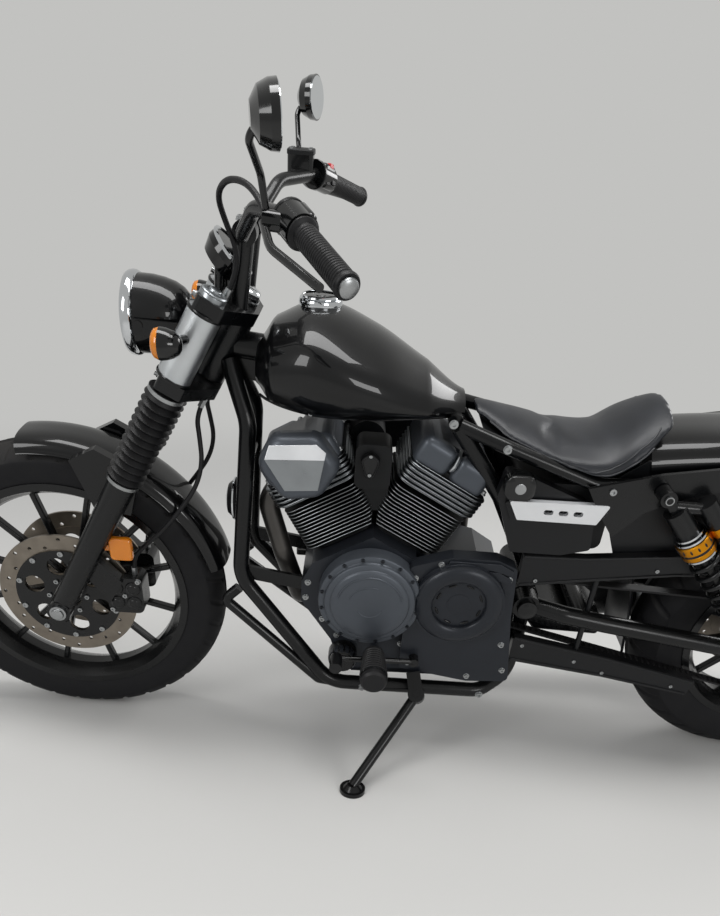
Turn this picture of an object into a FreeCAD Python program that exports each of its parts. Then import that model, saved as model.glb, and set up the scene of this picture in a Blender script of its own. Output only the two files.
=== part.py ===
import FreeCAD, Part
import math
import os

# Cruiser motorcycle parked on its side stand. Millimetres, +X forward, +Y left, +Z up.
# Everything is drawn upright (rear axle above x = 0) and set down leaning at the end.

# Stance
WHEELBASE = 1570.0
RAKE = 29.0
TRAIL = 130.0
LEAN = 10.0
MID_X = 764.9
MID_Y = 187.6

# Wheels
FRONT_R = 331.0
FRONT_CROWN = 52.0
FRONT_BEAD_R = 243.0
FRONT_RIM_HALF = 38.0
REAR_R = 323.0
REAR_CROWN = 78.0
REAR_BEAD_R = 206.0
REAR_RIM_HALF = 58.0
SPOKES = 12
TYRE_WALL = 9.0
FRONT_HUB_R = 34.0
REAR_HUB_R = 48.0
AXLE_R = 10.0
DISC_R = 145.0
DISC_BAND = 38.0
DISC_Y = 52.0
DISC_THICK = 5.0
REAR_DISC_Y = -70.0
PULLEY_R = 118.0
PULLEY_Y = 84.0
PULLEY_WIDE = 28.0

# Steering, measured along the steering axis from the ground
FORK_Y = 97.0
FORK_OFFSET = 46.8
FORK_TUBE_R = 20.5
SLIDER_R = 27.0
SLIDER_TOP = 690.0
GAITER_TOP = 894.0
LOWER_CLAMP = 910.0
UPPER_CLAMP = 1062.0
CLAMP_THICK = 24.0
HEAD_R = 29.0
STEM_R = 15.0
BAR_R = 11.1
HOSE_R = 4.5

# Frame
TUBE_R = 16.0
BACKBONE_R = 24.0
RAIL_Y = 122.0
RAIL_Z = 192.0
UPRIGHT_Y = 52.0
PIVOT = (598.0, 412.0)
SWING_Y = 118.0
SWING_R = 19.0
SEAT_RAIL_R = 13.0
STRUT_Y = 126.0
SEAT_PAN_Z = 709.0
SHOCK_Y = 154.0

# Engine
CRANK = (925.0, 425.0)
FRONT_CYL = 30.0
REAR_CYL = -28.0
CASE_HALF = 112.0
BARREL_R = 56.0
DECK = 112.0
FIN_COUNT = 13
FIN_PITCH = 7.4
FIN_THICK = 2.6
FIN_HALF = 82.0
FIN_START = 126.0
HEAD_START = 226.0
HEAD_HIGH = 60.0
HEAD_FINS = 6
HEAD_FIN_PITCH = 9.2
HEAD_FIN_OUT = 10.0
COVER_HIGH = 28.0
GEARBOX_Y = 66.0
BELT_COVER_Y = 101.0

SINE = math.sin(math.radians(RAKE))
COSINE = math.cos(math.radians(RAKE))
GROUND_X = WHEELBASE + TRAIL
HEAD_X = WHEELBASE - 370.0
REAR_LIFT = REAR_CROWN * (1 - math.cos(math.radians(LEAN)))
FRONT_LIFT = FRONT_CROWN * (1 - math.cos(math.radians(LEAN)))


def vec(x, y, z):
    return FreeCAD.Vector(x, y, z)


def on_fork(s, o, y):
    return vec(GROUND_X - SINE * s + COSINE * o, y, COSINE * s + SINE * o)


UP_FORK = vec(-SINE, 0, COSINE)
AHEAD_FORK = vec(COSINE, 0, SINE)
X = vec(1, 0, 0)
Y = vec(0, 1, 0)
Z = vec(0, 0, 1)


def rod(start, end, r):
    line = end - start
    return Part.makeCylinder(r, line.Length, start, line)


def cone(start, end, r1, r2):
    line = end - start
    if abs(r1 - r2) < 0.01:
        return rod(start, end, r1)
    return Part.makeCone(r1, r2, line.Length, start, line)


def disc(x, y, z, r, depth):
    return Part.makeCylinder(r, depth, vec(x, y, z), Y)


def box(x1, x2, y1, y2, z1, z2):
    return Part.makeBox(x2 - x1, y2 - y1, z2 - z1, vec(x1, y1, z1))


def rounded(shape, r, pick=None):
    edges = [e for e in shape.Edges if pick is None or pick(e)]
    return shape.makeFillet(r, edges)


def along(direction):
    def test(edge):
        if not hasattr(edge.Curve, "Direction"):
            return False
        return abs(abs(edge.Curve.Direction.dot(direction)) - 1) < 0.001
    return test


def block(x1, x2, y1, y2, z1, z2, r, direction=Y):
    return rounded(box(x1, x2, y1, y2, z1, z2), r, along(direction))


def plate(points, y1, y2):
    corners = [vec(x, y1, z) for x, z in points]
    face = Part.Face(Part.makePolygon(corners + corners[:1]))
    return face.extrude(vec(0, y2 - y1, 0))


def bent(points, bend=None):
    """Wire through the points, straight runs joined by tangent arcs, as wide as the runs allow where no radius is given."""
    edges = []
    last = points[0]
    for k in range(1, len(points) - 1):
        corner = points[k]
        a = (points[k - 1] - corner).normalize()
        b = (points[k + 1] - corner).normalize()
        half = math.acos(max(-1, min(1, a.dot(b)))) / 2
        shorter = min((points[k - 1] - corner).Length, (points[k + 1] - corner).Length)
        r = bend or 0.45 * shorter * math.tan(half)
        cut = r / math.tan(half)
        start = corner + a * cut
        end = corner + b * cut
        middle = (a + b).normalize()
        mid = corner + middle * (r / math.sin(half) - r)
        if (start - last).Length > 0.01:
            edges.append(Part.makeLine(last, start))
        edges.append(Part.Arc(start, mid, end).toShape())
        last = end
    edges.append(Part.makeLine(last, points[-1]))
    return Part.Wire(edges)


def pipe(points, r, bend=None):
    path = bent(points, bend)
    ring = Part.Wire([Part.makeCircle(r, points[0], (points[1] - points[0]).normalize())])
    return path.makePipeShell([ring], True, False)


def cord(name, points, r):
    """Hose or cable along its route; the arcs' radii and the volume against section times length are printed."""
    path = bent(points)
    body = pipe(points, r)
    radii = [round(e.Curve.Radius) for e in path.Edges if hasattr(e.Curve, "Radius")]
    print(name, "arc radii", radii, "volume share", round(body.Volume / (math.pi * r * r * path.Length), 3))
    return body


def turned(points, centre, direction=Y):
    """Solid of revolution: points are (radius, distance along the axis)."""
    start = vec(0, 0, 0)
    outline = [vec(r, 0, d) for r, d in points]
    face = Part.Face(Part.makePolygon(outline + outline[:1]))
    body = face.revolve(start, Z, 360)
    body.Placement = FreeCAD.Placement(centre, FreeCAD.Rotation(Z, direction))
    return body


def mirror(shape):
    return shape.mirror(vec(0, 0, 0), Y)


def both(shape):
    return [shape, mirror(shape)]


def fuse(shapes):
    body = shapes[0].multiFuse(shapes[1:]) if len(shapes) > 1 else shapes[0]
    return body.removeSplitter()


def group(shapes):
    return Part.makeCompound(shapes)


def section(x, top, bottom, half, low_half, crown, side):
    """Closed rounded outline across the bike: crown arc, two side arcs, straight skirts."""
    turn = math.asin((half - side) / (crown - side))
    middle = top - crown + (crown - side) * math.cos(turn)
    halfway = (turn + math.pi / 2) / 2
    a = vec(x, crown * math.sin(turn), top - crown + crown * math.cos(turn))
    b = vec(x, half, middle)
    ab = vec(x, half - side + side * math.sin(halfway), middle + side * math.cos(halfway))
    c = vec(x, low_half, bottom)
    a2, b2, c2, ab2 = [vec(x, -p.y, p.z) for p in (a, b, c, ab)]
    edges = [Part.Arc(a2, vec(x, 0, top), a).toShape(), Part.Arc(a, ab, b).toShape(), Part.makeLine(b, c),
             Part.makeLine(c, c2), Part.makeLine(c2, b2), Part.Arc(b2, ab2, a2).toShape()]
    return Part.Wire(edges)


def loft(wires):
    return Part.makeLoft(wires, True, False)


def oval_cup(centre, facing, wide, high, steps):
    """Shell of stacked ovals: steps are (share of the size, distance along the facing)."""
    across = facing.cross(Z).normalize()
    turn = FreeCAD.Rotation(across, across.cross(facing) * -1, facing, "ZXY")
    wires = []
    for share, out in steps:
        ring = Part.Ellipse(vec(0, 0, 0), wide * share, high * share).toShape()
        ring.Placement = FreeCAD.Placement(centre + facing * out, turn)
        wires.append(Part.Wire([ring]))
    return Part.makeLoft(wires, True, True)


# Wheels

def tyre(x, z, outer, crown, bead, half):
    """Hollow ring: crown arc, bulged walls, straight beads on the rim."""
    ring = outer - crown
    tip = math.radians(62)
    shoulder = vec(ring + crown * math.cos(tip), 0, crown * math.sin(tip))
    inner = crown - TYRE_WALL
    inside = vec(ring + inner * math.cos(tip), 0, inner * math.sin(tip))
    neck = vec(bead + 14, 0, half)
    heel = vec(bead, 0, half)
    toe = vec(bead, 0, half - 12)
    bulge = (shoulder + neck) * 0.5 + vec(0, 0, 3)
    s2, i2, n2, h2, t2, b2 = [vec(p.x, 0, -p.z) for p in (shoulder, inside, neck, heel, toe, bulge)]
    edges = [Part.Arc(s2, vec(outer, 0, 0), shoulder).toShape(), Part.Arc(shoulder, bulge, neck).toShape(),
             Part.makeLine(neck, heel), Part.makeLine(heel, toe), Part.makeLine(toe, inside),
             Part.Arc(inside, vec(outer - TYRE_WALL, 0, 0), i2).toShape(), Part.makeLine(i2, t2),
             Part.makeLine(t2, h2), Part.makeLine(h2, n2), Part.Arc(n2, b2, s2).toShape()]
    body = Part.Face(Part.Wire(edges)).revolve(vec(0, 0, 0), Z, 360)
    body.Placement = FreeCAD.Placement(vec(x, 0, z), FreeCAD.Rotation(Z, Y))
    return body


def wheel(x, z, bead, half, hub_r, hub_half):
    lip = bead + 10
    seat = bead - 0.3
    well = bead - 14
    side = half + 0.3
    outer = half + 5
    profile = [(lip, side), (seat, side), (seat, half - 13), (well + 2, half - 22), (well + 2, 22 - half),
               (seat, 13 - half), (seat, -side), (lip, -side), (lip, -outer), (bead - 6, -outer),
               (well - 4, 14 - half), (well - 10, 26 - half), (well - 10, half - 26), (well - 4, half - 14),
               (bead - 6, outer), (lip, outer)]
    parts = [turned(profile, vec(x, 0, z)), disc(x, -hub_half, z, hub_r, 2 * hub_half)]
    for k in range(SPOKES):
        spoke = rounded(box(hub_r - 6, well - 3, -9, 9, -6, 6), 4, along(X))
        spoke.rotate(vec(0, 0, 0), Y, 360 / SPOKES * (k + 0.5))
        spoke.translate(vec(x, 0, z))
        parts.append(spoke)
    return fuse(parts).cut(disc(x, -200, z, AXLE_R + 0.5, 400))


def brake_disc(x, y, z):
    inner = DISC_R - DISC_BAND
    low = y - DISC_THICK / 2
    band = disc(x, low, z, DISC_R, DISC_THICK).cut(disc(x, low, z, inner, DISC_THICK))
    holes = []
    for k in range(24):
        angle = math.radians(15 * k)
        r = DISC_R - 10 - 9 * (k % 3)
        holes.append(disc(x + r * math.cos(angle), low, z + r * math.sin(angle), 4, DISC_THICK))
    carrier = disc(x, low - 1, z, inner + 3, DISC_THICK + 2).cut(disc(x, low - 1, z, 28, DISC_THICK + 2))
    windows = []
    for k in range(6):
        angle = math.radians(60 * k + 20)
        windows.append(disc(x + 72 * math.cos(angle), low - 1, z + 72 * math.sin(angle), 21, DISC_THICK + 2))
    return fuse([band.cut(group(holes)), carrier.cut(group(windows))])


front_x = WHEELBASE
front_z = FRONT_R
rear_z = REAR_R
front_tyre = tyre(front_x, front_z, FRONT_R, FRONT_CROWN, FRONT_BEAD_R, FRONT_RIM_HALF)
front_wheel = wheel(front_x, front_z, FRONT_BEAD_R, FRONT_RIM_HALF, FRONT_HUB_R, DISC_Y - DISC_THICK / 2 - 1)
front_discs = group(both(brake_disc(front_x, DISC_Y, front_z)))
rear_hub_half = -REAR_DISC_Y - DISC_THICK / 2 - 1
rear_tyre = tyre(0, rear_z, REAR_R, REAR_CROWN, REAR_BEAD_R, REAR_RIM_HALF)
rear_disc = brake_disc(0, REAR_DISC_Y, rear_z)
pulley_low = PULLEY_Y - PULLEY_WIDE / 2
pulley_rim = disc(0, pulley_low, rear_z, PULLEY_R, PULLEY_WIDE).cut(disc(0, pulley_low, rear_z, PULLEY_R - 10, PULLEY_WIDE))
pulley_web = disc(0, PULLEY_Y - 12, rear_z, PULLEY_R - 8, 12)
pulley_hub = disc(0, rear_hub_half - 1, rear_z, 40, PULLEY_Y - rear_hub_half)
spindle_hole = disc(0, -200, rear_z, AXLE_R + 0.5, 400)
rear_pulley = fuse([pulley_rim, pulley_web, pulley_hub]).cut(spindle_hole)
rear_rim = wheel(0, rear_z, REAR_BEAD_R, REAR_RIM_HALF, REAR_HUB_R, rear_hub_half)
rear_wheel = fuse([rear_rim, rear_pulley])

# Fork

half_clamp = CLAMP_THICK / 2


def clamp(s, tail):
    outline = [(-tail, 30), (FORK_OFFSET - 26, FORK_Y + 26), (FORK_OFFSET + 26, FORK_Y + 28), (40, 30)]
    outline += [(o, -y) for o, y in reversed(outline)]
    corners = [on_fork(s - half_clamp, o, y) for o, y in outline]
    body = Part.Face(Part.makePolygon(corners + corners[:1])).extrude(UP_FORK * CLAMP_THICK)
    return rounded(body, 9, along(UP_FORK))


def leg_rod(low, high, r, side=1):
    return rod(on_fork(low, FORK_OFFSET, side * FORK_Y), on_fork(high, FORK_OFFSET, side * FORK_Y), r)


clamp_set = [clamp(UPPER_CLAMP, 30), clamp(LOWER_CLAMP, 30)]
clamp_set.append(rod(on_fork(LOWER_CLAMP - 14, 0, 0), on_fork(UPPER_CLAMP + 16, 0, 0), STEM_R))
clamp_set.append(rod(on_fork(UPPER_CLAMP + 12, 0, 0), on_fork(UPPER_CLAMP + 24, 0, 0), 20))
for side in (1, -1):
    clamp_set.append(leg_rod(UPPER_CLAMP, UPPER_CLAMP + 20, 23, side))
cover_low = LOWER_CLAMP + half_clamp
cover_high = UPPER_CLAMP - half_clamp
tube_top = UPPER_CLAMP + half_clamp

axle_s = TRAIL * SINE + FRONT_R * COSINE
slider = cone(on_fork(axle_s + 45, FORK_OFFSET, FORK_Y), on_fork(SLIDER_TOP, FORK_OFFSET, FORK_Y), 25, SLIDER_R)
leg_parts = [slider, leg_rod(axle_s - 25, axle_s + 50, 25), disc(front_x, FORK_Y - 25, front_z, 24, 50)]
leg_parts.append(leg_rod(SLIDER_TOP - 60, tube_top, FORK_TUBE_R))
leg = fuse(leg_parts)
spindle = disc(front_x, -FORK_Y - 30, front_z, AXLE_R, 2 * FORK_Y + 60)
spacer_low = DISC_Y - DISC_THICK / 2 - 0.5
spacer = disc(front_x, spacer_low, front_z, 17, FORK_Y - 25 - spacer_low)
fork_legs = fuse([leg, mirror(leg), spindle, spacer, mirror(spacer)])

GAITER_RIBS = 13
rib = (GAITER_TOP - SLIDER_TOP - 16) / GAITER_RIBS
outline = [(FORK_TUBE_R, 0), (30.0, 0)]
for k in range(GAITER_RIBS):
    outline.append((27.0, 8 + k * rib))
    outline.append((35.0, 8 + (k + 0.5) * rib))
gaiter_long = GAITER_TOP - SLIDER_TOP
outline += [(31.0, gaiter_long - 8), (31.0, gaiter_long), (FORK_TUBE_R, gaiter_long)]
gaiter = turned(outline, on_fork(SLIDER_TOP, FORK_OFFSET, FORK_Y), UP_FORK)
fork_gaiters = group(both(gaiter))
cover = leg_rod(cover_low, cover_high, 30).cut(leg_rod(cover_low, cover_high, FORK_TUBE_R))
fork_covers = group(both(cover))

# Fenders

FRONT_FENDER_R = 350.0
FRONT_FENDER_HALF = 60.0
REAR_FENDER_R = 432.0
REAR_FENDER_HALF = 99.6
REAR_FENDER_AT = (60.0, 365.0)
FENDER_TAIL = 152.0
NOSE_R = 2600.0


def arc_shell(x, z, r, half, drop, thick, start, end):
    """Curved fender skin with lips, turned about an axle line between two angles."""
    upper = [(r + 3, 0), (r, half * 0.5), (r - drop * 0.35, half * 0.86), (r - drop, half)]
    lower = [(r + 3 - thick, 0), (r - thick, half * 0.5 - thick * 0.4),
             (r - drop * 0.38 - thick, half * 0.84 - thick), (r - drop, half - thick)]
    profile = [(a, -b) for a, b in reversed(upper[1:])] + upper
    profile += list(reversed(lower)) + [(a, -b) for a, b in lower[1:]]
    outline = [vec(a, b, 0) for a, b in profile]
    face = Part.Face(Part.makePolygon(outline + outline[:1]))
    face.rotate(vec(0, 0, 0), Y, -start)
    body = face.revolve(vec(0, 0, 0), Y, start - end)
    body.translate(vec(x, 0, z))
    return body


front_skin = arc_shell(front_x, front_z, FRONT_FENDER_R, FRONT_FENDER_HALF, 26, 3, 82, 165)
stay_outline = [(-95, 225), (-60, 322), (-110, 348), (-190, 305), (-165, 215)]
stay = plate([(front_x + x, front_z + z) for x, z in stay_outline], FRONT_FENDER_HALF - 3, FORK_Y - SLIDER_R + 8)
hollow = disc(front_x, -FRONT_FENDER_HALF, front_z, FRONT_FENDER_R - 28, 2 * FRONT_FENDER_HALF)
front_fender = fuse([front_skin, stay.cut(hollow), mirror(stay.cut(hollow))])

rear_x, rear_top = REAR_FENDER_AT
tail_skin = arc_shell(rear_x, rear_top, REAR_FENDER_R, REAR_FENDER_HALF, 60, 4, 90, FENDER_TAIL)
nose_skin = arc_shell(rear_x, rear_top + REAR_FENDER_R - NOSE_R, NOSE_R, REAR_FENDER_HALF, 60, 4, 82, 90)
rear_fender = fuse([tail_skin, nose_skin])

# Headlight and signals

LAMP = (WHEELBASE - 222, 905.0)
LAMP_R = 68.0
LENS_R = 60.0
lamp_at = vec(LAMP[0], 0, LAMP[1])
headlight_shell = turned([(0, -78), (25, -76), (46, -60), (59, -35), (65, 0), (65, 18), (0, 18)], lamp_at, X)
headlight_ring = turned([(LENS_R, 18), (LAMP_R, 18), (LAMP_R + 2, 26), (LAMP_R - 1, 36), (LENS_R, 38)], lamp_at, X)
headlight_lens = turned([(0, 18), (LENS_R, 18), (LENS_R, 32), (42, 40), (0, 44)], lamp_at, X)
ear_outline = [(-98, -32), (14, -14), (14, 10), (-98, 6)]
ear = plate([(LAMP[0] + x, LAMP[1] + z) for x, z in ear_outline], 70, 76)
ear_bolt = disc(LAMP[0] + 4, 64, LAMP[1], 8, 14)
signal_at = vec(LAMP[0] - 62, 168, LAMP[1])
signal_stalk = rod(signal_at - vec(26, 50, 4), signal_at - vec(4, 12, 2), 8)
signal_body = turned([(0, -28), (14, -25), (24, -8), (26, 8), (0, 8)], signal_at, X)
signal_lens = turned([(0, 8), (25, 8), (22, 18), (0, 22)], signal_at, X)
front_signals = group(both(fuse([signal_stalk, signal_body])) + both(signal_lens))
fork_clamps = fuse(clamp_set + both(ear) + both(ear_bolt))

# Handlebar and controls

bar_half = [vec(HEAD_X - 28, 95, 1052), vec(HEAD_X - 60, 170, 1104), vec(HEAD_X - 118, 262, 1108), vec(HEAD_X - 203, 412, 1060)]
RISER_Y = 45.0
bar_path = [vec(p.x, -p.y, p.z) for p in reversed(bar_half)] + bar_half
bar_seat = vec(bar_half[0].x, RISER_Y, bar_half[0].z)
riser = rod(on_fork(UPPER_CLAMP + 8, 6, RISER_Y), bar_seat, 16)
riser_cap = rod(bar_seat - Y * 15, bar_seat + Y * 15, 20)
handlebar = fuse([pipe(bar_path, BAR_R, 60), riser, mirror(riser), riser_cap, mirror(riser_cap)])

GRIP_LONG = 137.0
grip_way = (bar_half[3] - bar_half[2]).normalize()
grip_start = bar_half[3] - grip_way * (GRIP_LONG - 2)
grip_outline = [(BAR_R, 0), (22, 0), (22, 5), (16.5, 7), (16.5, 128), (18, 130), (18, GRIP_LONG), (0, GRIP_LONG)]
grip_outline += [(0, GRIP_LONG - 2), (BAR_R, GRIP_LONG - 2)]
grips = group(both(turned(grip_outline, grip_start, grip_way)))

switch_at = grip_start - grip_way * 23
switch_box = rod(switch_at - grip_way * 22, switch_at + grip_way * 22, 24)
lever_root = switch_at + vec(34, 4, 4)
perch = rod(switch_at, lever_root + vec(10, 0, 0), 13)
lever_path = [lever_root + vec(8, 0, -4), lever_root + grip_way * 60 + vec(22, 0, -8), lever_root + grip_way * 165 + vec(2, 0, -4)]
control = fuse([switch_box, perch, pipe(lever_path, 6, 60)])
tank_at = switch_at + vec(36, -20, 26)
fluid_tank = block(tank_at.x - 24, tank_at.x + 24, -tank_at.y - 26, -tank_at.y + 26, tank_at.z - 20, tank_at.z + 16, 8, Z)
hand_controls = group([control, fuse([mirror(control), fluid_tank])])

MIRROR_WIDE = 54.0
MIRROR_HIGH = 36.0
mirror_at = vec(HEAD_X - 106, 352, 1222)
mirror_face = vec(-1, -0.18, 0.05).normalize()
mirror_cup = oval_cup(mirror_at, mirror_face, MIRROR_WIDE, MIRROR_HIGH, [(0.4, -26), (0.8, -17), (0.97, -4), (1, 6)])
stem_path = [lever_root + vec(4, -2, 8), lever_root + vec(10, 4, 50), mirror_at + vec(30, -8, -24), mirror_at + vec(14, -2, -6)]
mirrors = group(both(fuse([mirror_cup, pipe(stem_path, 5, 20)])))
mirror_glass = group(both(oval_cup(mirror_at, mirror_face, MIRROR_WIDE, MIRROR_HIGH, [(0.93, 6), (0.93, 7.5)])))

dial_way = (UP_FORK * 0.9 - AHEAD_FORK * 0.35).normalize()
dial = turned([(0, 0), (34, 0), (44, 20), (44, 32), (0, 32)], on_fork(UPPER_CLAMP + 38, 66, 0), dial_way)
dial_foot = rod(on_fork(UPPER_CLAMP + 4, 44, 0), on_fork(UPPER_CLAMP + 44, 64, 0), 12)
instrument = fuse([dial, dial_foot])

# Front brakes and reflectors

caliper_body = block(front_x - 168, front_x - 92, DISC_Y - 24, DISC_Y + 26, front_z - 20, front_z + 66, 16)
disc_slot = DISC_THICK / 2 + 3
slot = disc(front_x, DISC_Y - disc_slot, front_z, DISC_R + 5, 2 * disc_slot)
arm_outline = [(-100, 10), (-40, 90), (-75, 120), (-130, 60)]
caliper_arm = plate([(front_x + x, front_z + z) for x, z in arm_outline], DISC_Y + 8, FORK_Y - 12)
caliper = fuse([caliper_body.cut(slot), caliper_arm])
front_calipers = group(both(caliper))
reflector = block(front_x - 165, front_x - 120, FORK_Y - 4, FORK_Y + 4, front_z + 125, front_z + 175, 8)
reflector_arm = box(front_x - 125, front_x - 80, FORK_Y - 3, FORK_Y + 3, front_z + 145, front_z + 157)
reflectors = group(both(fuse([reflector, reflector_arm])))

# Hoses and cables on the steering

clamp_foot = on_fork(LOWER_CLAMP - half_clamp, -14, 48)
caliper_top = vec(front_x - 150, 56, front_z + 66)
hose_route = [clamp_foot, clamp_foot - UP_FORK * 36, clamp_foot + vec(12, 8, -72), clamp_foot + vec(8, 18, -118),
              clamp_foot + vec(22, 26, -166), clamp_foot + vec(54, 28, -212), caliper_top + vec(-72, 19, 116),
              caliper_top + vec(-27, 12, 73), caliper_top + Z * 37, caliper_top]
hose_left = cord("hose_left", hose_route, HOSE_R)
cable_end = on_fork(UPPER_CLAMP + half_clamp, 30, 70)
cable_route = [lever_root + vec(6, -13, 5), lever_root + vec(22, -46, 24), lever_root + vec(48, -82, 34),
               lever_root + vec(76, -118, 28), lever_root + vec(94, -154, 4), cable_end + vec(-10, 26, 120),
               cable_end + vec(-26, 10, 76), cable_end + UP_FORK * 40, cable_end]
clutch_cable = cord("clutch_cable", cable_route, HOSE_R)

# Frame

bore_head = rod(on_fork(cover_low - 10, 0, 0), on_fork(cover_high + 10, 0, 0), STEM_R + 1)
head_space = rod(on_fork(cover_low - 60, 0, 0), on_fork(cover_high + 60, 0, 0), HEAD_R)
head_tube = rod(on_fork(cover_low + 3, 0, 0), on_fork(cover_high - 3, 0, 0), HEAD_R)
backbone_path = [vec(HEAD_X, 0, 866), vec(1050, 0, 852), vec(800, 0, 790)]
backbone = pipe(backbone_path, BACKBONE_R, 200)
gusset = plate([(HEAD_X + 14, 812), (HEAD_X - 50, 800), (HEAD_X - 90, 832), (HEAD_X - 5, 858)], -6, 6)
cross_top = rod(vec(795, -74, 778), vec(795, 74, 778), 14)
frame_main = fuse([head_tube, backbone, gusset, cross_top]).cut(bore_head)

down_path = [vec(HEAD_X + 12, 16, 842), vec(HEAD_X - 26, 52, 740), vec(HEAD_X - 8, 88, 430),
             vec(1000, RAIL_Y, RAIL_Z), vec(930, RAIL_Y, RAIL_Z)]
down = pipe(down_path, TUBE_R, 80)
brace = pipe([vec(HEAD_X - 4, 90, 402), vec(HEAD_X + 26, 94, 374), vec(1022, 120, 196), vec(985, RAIL_Y, RAIL_Z)], 11, 14)
front_lug = plate([(HEAD_X - 10, 455), (HEAD_X - 10, 425), (1065, 405), (1065, 435)], 78, 86)
down_cross = rod(vec(HEAD_X - 19, -58, 660), vec(HEAD_X - 19, 58, 660), 12)
frame_downtubes = fuse([down, mirror(down), brace, mirror(brace), front_lug, mirror(front_lug), down_cross]).cut(head_space)

rail_path = [vec(930, RAIL_Y, RAIL_Z), vec(665, RAIL_Y, RAIL_Z), vec(600, 70, 205), vec(588, UPRIGHT_Y, 290),
             vec(590, UPRIGHT_Y, 450), vec(690, 74, 640), vec(788, 74, 770)]
rail = pipe(rail_path, TUBE_R, 50)
pivot_hole = disc(PIVOT[0], -90, PIVOT[1], 12.4, 180)
pivot_tube = disc(PIVOT[0], -69, PIVOT[1], 30, 138)
rear_lug = plate([(595, 330), (595, 280), (650, 290), (650, 325)], 40, 48)
low_cross = rod(vec(588, -UPRIGHT_Y, 285), vec(588, UPRIGHT_Y, 285), 12)

seat_rail_path = [vec(786, 76, 772), vec(700, 98, 748), vec(525, 108, 692), vec(400, 113, 700), vec(150, 113, 736)]
seat_rail = pipe(seat_rail_path, SEAT_RAIL_R, 80)
rear_hoop = rod(vec(515, -109, 692), vec(515, 109, 692), 11)
seat_post = rod(vec(515, 60, 692), vec(515, 60, SEAT_PAN_Z - 0.3), 12)
seat_rails = fuse([seat_rail, mirror(seat_rail), rear_hoop, seat_post, mirror(seat_post)])

# Engine


def deck_point(angle, across):
    """Point on a cylinder's deck, across its axis, in the middle plane."""
    turn = math.radians(angle)
    return (CRANK[0] + DECK * math.sin(turn) + across * math.cos(turn), CRANK[1] + DECK * math.cos(turn) - across * math.sin(turn))


vee_half = math.radians((FRONT_CYL - REAR_CYL) / 2)
vee_mid = math.radians((FRONT_CYL + REAR_CYL) / 2)
vee_high = DECK / math.cos(vee_half)
vee_tip = (CRANK[0] + vee_high * math.sin(vee_mid), CRANK[1] + vee_high * math.cos(vee_mid))
vee_reach = DECK * math.tan(vee_half) - 1
case_front = [(835, 232), (975, 225), (1000, 300), (1065, 395), (1065, 440), deck_point(FRONT_CYL, 74), vee_tip]
case_front += [deck_point(REAR_CYL, -40), (835, 480)]
case_rear = [(650, 250), (835, 232), (835, 480), deck_point(REAR_CYL, -40), deck_point(REAR_CYL, -74)]
case_rear += [(700, 470), (650, 440)]
crankcase = fuse([plate(case_front, -CASE_HALF, CASE_HALF), plate(case_rear, -CASE_HALF, GEARBOX_Y)])
oil_filter = turned([(0, 0), (30, 0), (30, 30), (26, 38), (0, 40)], vec(972, CASE_HALF, 270), Y)
sump = plate([(845, 240), (705, 246), (722, 206), (950, 202), (978, 236)], -88, 92)
crankcase = fuse([crankcase, oil_filter, sump])


def leaned(body, angle):
    body.rotate(vec(0, 0, 0), Y, angle)
    body.translate(vec(CRANK[0], 0, CRANK[1]))
    return body


def cylinder(angle, inner):
    """Finned barrel and head built upright over the crank, fins shortened inside the V."""
    foot = box(-vee_reach, 66, -66, 66, DECK, DECK + 8) if inner < 0 else box(-66, vee_reach, -66, 66, DECK, DECK + 8)
    parts = [rod(vec(0, 0, DECK), vec(0, 0, HEAD_START), BARREL_R), rounded(foot, 26, along(Z))]
    parts.append(rounded(box(-74, 74, -78, 78, HEAD_START, HEAD_START + HEAD_HIGH), 22, along(Z)))
    vee = math.tan(math.radians((FRONT_CYL - REAR_CYL) / 2))
    for k in range(FIN_COUNT):
        z = FIN_START + k * FIN_PITCH
        near = min(FIN_HALF, z * vee - 4)
        low, high = (-near, FIN_HALF) if inner < 0 else (-FIN_HALF, near)
        parts.append(rounded(box(low, high, -FIN_HALF, FIN_HALF, z, z + FIN_THICK), 24, along(Z)))
    for k in range(HEAD_FINS):
        z = HEAD_START + 4 + HEAD_FIN_PITCH * k
        parts.append(rounded(box(-74 - HEAD_FIN_OUT, 74 + HEAD_FIN_OUT, -78 - HEAD_FIN_OUT, 78 + HEAD_FIN_OUT, z, z + FIN_THICK), 26, along(Z)))
    return leaned(fuse(parts), angle)


def head_cover(angle):
    low = HEAD_START + HEAD_HIGH
    lobes = [rounded(box(-66, 66, y - 26, y + 26, low, low + COVER_HIGH), 14, along(Z)) for y in (-29, 29)]
    return leaned(fuse(lobes), angle)


cylinders = group([cylinder(FRONT_CYL, -1), cylinder(REAR_CYL, 1)])
head_covers = group([head_cover(FRONT_CYL), head_cover(REAR_CYL)])
generator_cover = fuse([disc(CRANK[0], CASE_HALF, CRANK[1], 104, 36), disc(CRANK[0], CASE_HALF + 36, CRANK[1], 92, 8),
                        disc(CRANK[0], CASE_HALF + 44, CRANK[1], 78, 6)])
clutch_cover = fuse([disc(CRANK[0] - 10, -CASE_HALF - 42, CRANK[1] - 10, 110, 42), disc(CRANK[0] - 130, -CASE_HALF - 34, CRANK[1] - 40, 78, 34)])
pulley_at = (745.0, 430.0)
pulley_outline = [(850, 252), (850, 505), (770, 532), (680, 532), (640, 515), (632, 400), (608, 232), (700, 226)]
pulley_plate = rounded(plate(pulley_outline, BELT_COVER_Y, 134), 12, along(Y))
pulley_cover = fuse([pulley_plate, disc(pulley_at[0], 120, pulley_at[1], 92, 28)])
pulley_cover = pulley_cover.cut(disc(pulley_at[0], 142, pulley_at[1], 54, 10))
HEX = [(1150, 700), (1122, 756), (1038, 764), (994, 706), (1030, 645), (1100, 634)]
cap_y = 116.0
side_cap = rounded(plate(HEX, cap_y, cap_y + 34), 10, along(Y))
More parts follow.
